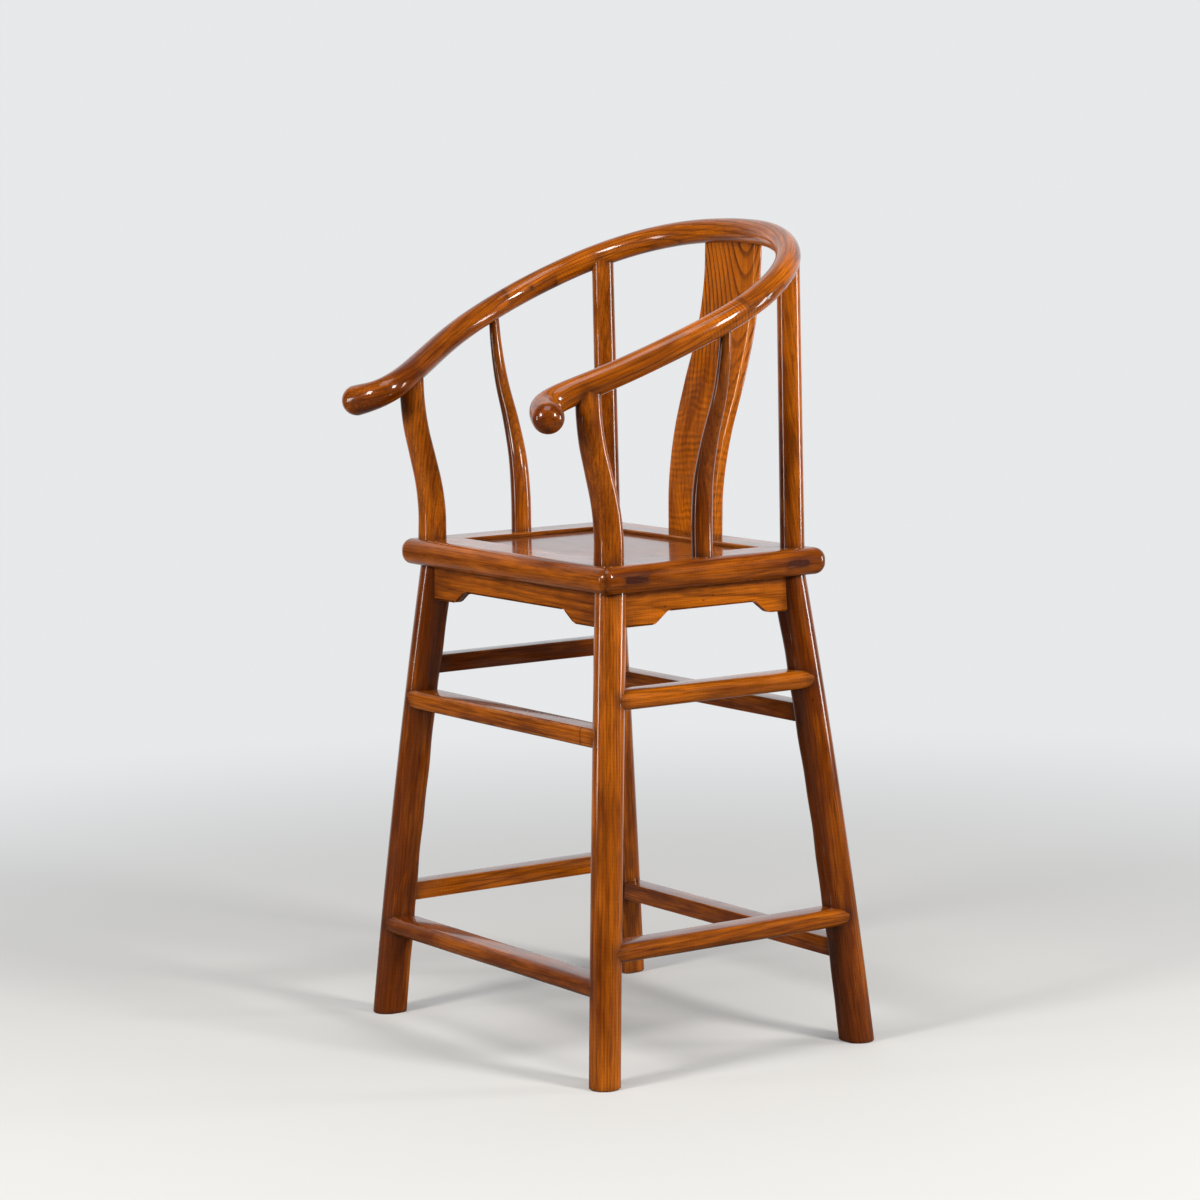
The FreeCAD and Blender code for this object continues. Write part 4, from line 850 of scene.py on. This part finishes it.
rings = []
for height in np.linspace(seat_top - 0.006, splat_head_z, 110):
    share = max(0, (height - seat_top) / (splat_head_z - seat_top))
    half_wide = splat_width / 2 * smooth_between(marks, splat_waist, share)[0]
    middle, wide, deep = splat_y(share)[0], half_wide - splat_corner, splat_thick / 2 - splat_corner
    ring = []
    for corner_x, corner_y, first_angle in ((1, 1, 0), (-1, 1, 90), (-1, -1, 180), (1, -1, 270)):
        for step in range(7):
            angle = math.radians(first_angle + 15 * step)
            ring.append((corner_x * wide + splat_corner * math.cos(angle),
                         middle + corner_y * deep + splat_corner * math.sin(angle), height))
        if corner_x * corner_y > 0:
            ring += [(corner_x * inner * wide, middle + corner_y * splat_thick / 2, height)
                     for inner in np.linspace(1, -1, 14)[1:-1]]
    rings.append(ring)
splat = timber("back_splat_board", rings)
points = points_of(splat)
shares = np.clip((points[:, 2] - seat_top) / (splat_head_z - seat_top), 0, 1)
keep_grain(splat, np.stack((points[:, 0] - heart_beside, points[:, 1] - splat_y(shares) + heart_behind,
                            points[:, 2] - seat_top), 1),
           0.5 + 0.6 * smooth_between((0, 0.5, 0.8, 1), (0, 0.1, 0.9, 1), shares))
splat_eye = ((0.0125, 0.2125, 0.869), (0.015, 0.03, 0.019), True)
splat_knot = ((0.0114, 0.209, 0.850), (0.0032, 0.02, 0.0045), False)
splat_wood = lacquered_elm(
    "splat_wood", ring_width=0.0075, rise=-0.26, waver=0.002, rings=0.9, streaks=0.5, curl=0.27,
    curl_fade=(0.15, 0.28), curl_length=0.0088, knots=(splat_eye, splat_knot))
splat.data.materials.append(splat_wood)
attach(splat, "root")
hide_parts("back_splat")


# Horseshoe rail: a crest and two arms, round in section, that thicken to a ball at each tip. They
# meet in half laps, each locked by a tapered pin.

rail_thick, tip_thick = 0.0316, 0.0395
lap_share, lap_length, lap_spare, joint_gap = 0.489, 0.070, 0.012, 0.0001
rail_knots = [(0, 0.201, 1.0232), (0.1183, 0.1838, 1.0156), (0.2157, 0.1289, 0.9869),
              (0.2634, 0.0317, 0.9389), (0.2497, -0.0693, 0.8933), (0.2101, -0.1551, 0.8536),
              (0.1950, -0.2190, 0.8256), (0.2249, -0.2350, 0.8162)]
thickening = ((0, 0), (0.70, 0), (0.76, 0.03), (0.82, 0.1), (0.87, 0.2), (0.91, 0.35), (0.94, 0.5),
              (0.965, 0.7), (0.985, 0.9), (1, 1))

# A smooth line through the knots, of one curvature on both sides of each knot
knots = np.array([(-x, y + seat_back, z) for x, y, z in rail_knots[:0:-1]]
                 + [(x, y + seat_back, z) for x, y, z in rail_knots])
spans = np.linalg.norm(np.diff(knots, axis=0), axis=1)
count = len(knots)
system, wanted = np.zeros((count, count)), np.zeros((count, 3))
for n in range(1, count - 1):
    before, after = spans[n - 1], spans[n]
    system[n, n - 1:n + 2] = after, 2 * (before + after), before
    wanted[n] = 3 * (after * (knots[n] - knots[n - 1]) / before + before * (knots[n + 1] - knots[n]) / after)
system[0, :2], system[-1, -2:] = (2, 1), (1, 2)
wanted[0], wanted[-1] = 3 * (knots[1] - knots[0]) / spans[0], 3 * (knots[-1] - knots[-2]) / spans[-1]
slopes = np.linalg.solve(system, wanted)
tips = [knots[n] + sign * slopes[n] / np.linalg.norm(slopes[n]) * tip_thick / 2
        for n, sign in ((0, -1), (-1, 1))]
path_data = bpy.data.curves.new("rail_path", "CURVE")
path_data.dimensions = "3D"
spline = path_data.splines.new("BEZIER")
spline.resolution_u = 64
spline.bezier_points.add(count + 1)
for n, point in enumerate(spline.bezier_points):
    point.handle_left_type = point.handle_right_type = "FREE"
    if n in (0, count + 1):
        tip, knot = (tips[0], knots[0]) if n == 0 else (tips[1], knots[-1])
        point.co = tip
        point.handle_left = point.handle_right = (2 * tip + knot) / 3
        continue
    knot, slope = knots[n - 1], slopes[n - 1]
    point.co = knot
    point.handle_left = knot - slope * spans[n - 2] / 3 if n > 1 else (2 * knot + tips[0]) / 3
    point.handle_right = knot + slope * spans[n - 1] / 3 if n < count else (2 * knot + tips[1]) / 3

rail_tree = bpy.data.node_groups.new("round_rail", "GeometryNodeTree")
given, put = add_sockets(rail_tree, (
    ("Path", "Geometry"), ("From", "Float", 0.0), ("To", "Float", 1.0), ("Thickness", "Float", 0.03),
    ("Tip Thickness", "Float", 0.04), ("Stations", "Int", 400), ("Sides", "Int", 48),
    ("Waver", "Float", 0.0006), ("Seed", "Float", 0.0), ("Wood", "Material")), ("Rail",), "Geometry")


def reckon(operation, *values):
    """A number worked out from others in the rail's tree."""
    return calculate(rail_tree, operation, *values)


length = join_node(rail_tree, "GeometryNodeCurveLength", {0: given["Path"]}).outputs[0]
line = join_node(rail_tree, "GeometryNodeCurvePrimitiveLine", {"Start": (0, 0, 0), "End": (0, 0, 1)})
stations = join_node(rail_tree, "GeometryNodeResampleCurve", {
    "Curve": line.outputs[0], "Count": given["Stations"]})
station = join_node(rail_tree, "GeometryNodeInputIndex", {}).outputs[0]
swing = reckon("DIVIDE", reckon("MULTIPLY", station, math.pi), reckon("SUBTRACT", given["Stations"], 1.0))
closer_at_ends = reckon("MULTIPLY_ADD", reckon("COSINE", swing), -0.5, 0.5)
factor = reckon("MULTIPLY_ADD", reckon("SUBTRACT", given["To"], given["From"]), closer_at_ends, given["From"])
sample = join_node(rail_tree, "GeometryNodeSampleCurve", {
    "Curves": given["Path"], "Factor": factor}, mode="FACTOR")
from_middle = reckon("MULTIPLY", reckon("ABSOLUTE", reckon("SUBTRACT", factor, 0.5)), length)
half_rail = reckon("SUBTRACT", reckon("MULTIPLY", length, 0.5), reckon("MULTIPLY", given["Tip Thickness"], 0.5))
share = reckon("MINIMUM", reckon("DIVIDE", from_middle, half_rail), 1.0)
law = join_node(rail_tree, "ShaderNodeFloatCurve", {"Value": share})
law_points = law.mapping.curves[0].points
law_points[0].location, law_points[1].location = thickening[0], thickening[-1]
for spot in thickening[1:-1]:
    law_points.new(*spot)
law.mapping.update()
extra = reckon("SUBTRACT", given["Tip Thickness"], given["Thickness"])
radius = reckon("MULTIPLY", reckon("MULTIPLY_ADD", extra, law.outputs[0], given["Thickness"]), 0.5)
to_end = reckon("MAXIMUM", reckon("SUBTRACT", reckon("MULTIPLY", length, 0.5), from_middle), 0.0)
into_ball = reckon("MINIMUM", reckon("DIVIDE", to_end, radius), 1.0)
dome = reckon("SQRT", reckon("MAXIMUM", reckon("MULTIPLY", into_ball, reckon("SUBTRACT", 2.0, into_ball)), 0.0))
laid = join_node(rail_tree, "GeometryNodeSetPosition", {
    "Geometry": stations.outputs[0], "Position": sample.outputs["Position"]})
upright = join_node(rail_tree, "GeometryNodeSetCurveNormal", {"Curve": laid.outputs[0]}, mode="Z_UP")
kept_radius = join_node(rail_tree, "GeometryNodeCaptureAttribute", {"Geometry": upright.outputs[0]})
kept_radius.capture_items.new("FLOAT", "Radius")
rail_tree.links.new(reckon("MULTIPLY", radius, dome), kept_radius.inputs["Radius"])
ring_curve = join_node(rail_tree, "GeometryNodeCurvePrimitiveCircle", {
    "Resolution": given["Sides"], "Radius": 1.0})
swept = join_node(rail_tree, "GeometryNodeCurveToMesh", {
    "Curve": kept_radius.outputs["Geometry"], "Profile Curve": ring_curve.outputs[0],
    "Scale": kept_radius.outputs["Radius"], "Fill Caps": True})
rail_place = join_node(rail_tree, "GeometryNodeInputPosition", {}).outputs[0]
uneven = unevenness(rail_tree, rail_place, 13.0, given["Seed"], given["Waver"])
shaved = join_node(rail_tree, "GeometryNodeSetPosition", {"Geometry": swept.outputs[0], "Offset": uneven})
merged = join_node(rail_tree, "GeometryNodeMergeByDistance", {
    "Geometry": shaved.outputs[0], "Distance": 0.000005})
real = join_node(rail_tree, "GeometryNodeRealizeInstances", {"Geometry": merged.outputs[0]})
clad = join_node(rail_tree, "GeometryNodeSetMaterial", {"Geometry": real.outputs[0], "Material": given["Wood"]})
rail_tree.links.new(clad.outputs[0], put["Rail"])

rail_cut = {"ring_width": 0.006, "rise": 0.02, "waver": 0.008, "rings": 0.5}
rail_wood = lacquered_elm("rail_wood", curl=0.1, **rail_cut)
curly_rail_wood = lacquered_elm("curly_rail_wood", curl=0.35, curl_fade=(30.06, 30.15), curl_length=0.0045,
                                **rail_cut)

# The same line as close points, for the places of the laps and the run of the grain
samples = np.array([hermite(share, spans[n], knots[n], knots[n + 1], slopes[n], slopes[n + 1])
                    for n in range(count - 1) for share in np.linspace(0, 1, 60, endpoint=False)] + [knots[-1]])
run = np.concatenate(([0], np.cumsum(np.linalg.norm(np.diff(samples, axis=0), axis=1))))
half_run, whole = run[-1] / 2, run[-1] + tip_thick
lap_middle, rail_end = half_run * lap_share, half_run + tip_thick / 2
lap_start, lap_end = lap_middle - lap_length / 2, lap_middle + lap_length / 2


def lap_frame(sign):
    """Middle of the lap on one side, with the directions to its tip, across the rail and up from it."""
    at = half_run + sign * lap_middle
    point, ahead = (Vector([np.interp(at + on, run, samples[:, axis]) for axis in range(3)])
                    for on in (0, 0.001))
    direction = sign * (ahead - point).normalized()
    across = Vector((0, 0, 1)).cross(direction).normalized()
    return point, direction, across, direction.cross(across)


def lay_grain_along(piece, heart, stain, ball_stain):
    """Lay the grain of a bent piece along the rail's own line, and stain its ball apart."""
    points = points_of(piece)
    nearest = np.array([int(np.argmin(((samples - point) ** 2).sum(1))) for point in points])
    ahead = np.gradient(samples, axis=0)
    ahead /= np.linalg.norm(ahead, axis=1)[:, None]
    aside = np.cross((0, 0, 1), ahead)
    aside /= np.linalg.norm(aside, axis=1)[:, None]
    above = np.cross(ahead, aside)
    offset = points - samples[nearest]
    at = run[nearest] + (offset * ahead[nearest]).sum(1)
    from_tip = np.clip((np.minimum(at, run[-1] - at) + tip_thick / 2) / 0.05, 0, 1)
    opening = 0.25 + 0.75 * from_tip ** 2 * (3 - 2 * from_tip)
    beside, over = (offset * aside[nearest]).sum(1), (offset * above[nearest]).sum(1)
    places = np.stack((beside * opening, over * opening, at), 1) + np.array(heart)
    places[:, 0] += 0.007 * np.sin(places[:, 2] * 7 + heart[2])
    keep_grain(piece, places, ball_stain + (stain - ball_stain) * from_tip)


def lap_cutter(name, sign, upper):
    """An L-shaped block that takes away one half of the rail along a lap, and all of it past the lap's end."""
    point, direction, across, upward = lap_frame(sign)
    far, deep, wide = 0.09, 0.05, 0.05
    near, past, gap = lap_length / 2 - joint_gap / 2, lap_length / 2 + joint_gap / 2, joint_gap / 2
    corners = [(-far, -deep), (-far, deep), (past, deep), (past, -gap), (-near, -gap), (-near, -deep)]
    if not upper:
        corners = [(-along, -rise) for along, rise in corners]
    shape = bmesh.new()
    first, last = ([shape.verts.new(point + direction * along + upward * rise + across * reach)
                    for along, rise in corners] for reach in (-wide, wide))
    shape.faces.new(first)
    shape.faces.new(last[::-1])
    for n in range(6):
        after = (n + 1) % 6
        shape.faces.new((first[n], first[after], last[after], last[n]))
    bmesh.ops.recalc_face_normals(shape, faces=shape.faces)
    mesh = bpy.data.meshes.new(name)
    shape.to_mesh(mesh)
    shape.free()
    cutter = bpy.data.objects.new(name, mesh)
    bpy.context.scene.collection.objects.link(cutter)
    return cutter


def rail_part(name, low, high, wood, cutters):
    """A stretch of the rail between two distances from its middle, less its laps."""
    part = settle(name, grown(name, rail_tree, {
        "From": 0.5 + low / whole, "To": 0.5 + high / whole, "Thickness": rail_thick,
        "Tip Thickness": tip_thick, "Stations": 320, "Sides": 56, "Waver": 0.0007, "Seed": 1.0,
        "Wood": wood}, path_data))
    for cutter in cutters:
        trim = part.modifiers.new("lap", "BOOLEAN")
        trim.operation, trim.object, trim.solver = "DIFFERENCE", cutter, "MANIFOLD"
    cut_mesh = plain_mesh(name, part)
    part.modifiers.clear()
    part.data = cut_mesh
    smooth_faces(cut_mesh)
    mark_rub(cut_mesh)
    for cutter in cutters:
        bpy.data.objects.remove(cutter)
    return part


crest = rail_part("crest_rail_timber", -lap_end - lap_spare, lap_end + lap_spare, rail_wood,
                  [lap_cutter("left_under", 1, False), lap_cutter("right_under", -1, False)])
lay_grain_along(crest, (0.03, 0.03, 23.0), 0.7, 0.7)
left_arm = rail_part("left_arm_rail_timber", lap_start - lap_spare, rail_end, curly_rail_wood,
                     [lap_cutter("left_over", 1, True)])
lay_grain_along(left_arm, (0.012, 0.022, 29.0), 0.66, 0.22)
right_arm = rail_part("right_arm_rail_timber", -rail_end, -lap_start + lap_spare, rail_wood,
                      [lap_cutter("right_over", -1, True)])
lay_grain_along(right_arm, (0.04, 0.02, 37.0), 0.28, 0.2)
bpy.data.curves.remove(path_data)
for part, node in ((crest, "crest_rail"), (left_arm, "left_arm_rail"), (right_arm, "right_arm_rail")):
    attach(part, "root")
    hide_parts(node)

pin_half, pin_taper, pin_corner, pin_ease, pin_steps = 0.0035, 0.00075, 0.0008, 0.0005, 24
pin_reach, pin_margin = rail_thick / 2 + 0.0002, 0.0006
pin_wood = lacquered_elm("pin_wood", ring_width=0.003, rise=0.0, waver=0.002, light=(0.13, 0.030, 0.008, 1),
                         deep=(0.08, 0.018, 0.005, 1), line=(0.03, 0.007, 0.003, 1))
for sign, side in ((1, "left"), (-1, "right")):
    point, direction, across, upward = lap_frame(sign)
    rings = []
    for along, ease in ((-pin_reach, pin_ease), (-pin_reach + pin_margin, 0), (pin_reach - pin_margin, 0),
                        (pin_reach, pin_ease)):
        half = pin_half - pin_taper * (along + pin_reach) / (2 * pin_reach) - ease
        ring = []
        for step in range(pin_steps):
            angle = 2 * math.pi * (step + 0.5) / pin_steps
            far = squared_round(angle, half, pin_corner)
            outward = direction * far * math.cos(angle) + upward * far * math.sin(angle)
            ring.append(point + across * along + outward)
        rings.append(ring)
    pin = timber(side + "_scarf_pin_peg", rings)
    lay_grain(pin, point, point + across, (0.02, 0.03, 1.0 * sign))
    pin.data.materials.append(pin_wood)
    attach(pin, "root")
    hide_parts(side + "_scarf_pin")


# Joints: dirt and old wax gather where two pieces meet and at the feet, and painted shade darkens the same
# places, so each point keeps how near the next piece or the floor is.

shade_and_dirt_reach, floor_shade_and_dirt = 0.009, 0.8
surfaces = []
for piece in pieces:
    spots = points_of(piece)
    skin = BVHTree.FromPolygons(spots.tolist(), [tuple(face.vertices) for face in piece.data.polygons])
    surfaces.append((piece, skin, spots.min(0) - shade_and_dirt_reach, spots.max(0) + shade_and_dirt_reach))
for piece in pieces:
    spots = points_of(piece)
    # Painted contact shade, with dirt, darkens the feet where they stand on the floor.
    nearness = floor_shade_and_dirt * np.clip(1 - spots[:, 2] / shade_and_dirt_reach, 0, 1) ** 1.5
    for other, skin, low, high in surfaces:
        if other is piece:
            continue
        for n in np.nonzero(((spots > low) & (spots < high)).all(1))[0]:
            far = skin.find_nearest(Vector(spots[n]), shade_and_dirt_reach)[3]
            if far is not None:
                nearness[n] = max(nearness[n], (1 - far / shade_and_dirt_reach) ** 1.5)
    piece.data.attributes.new("near_joint", "FLOAT", "POINT").data.foreach_set("value", nearness)
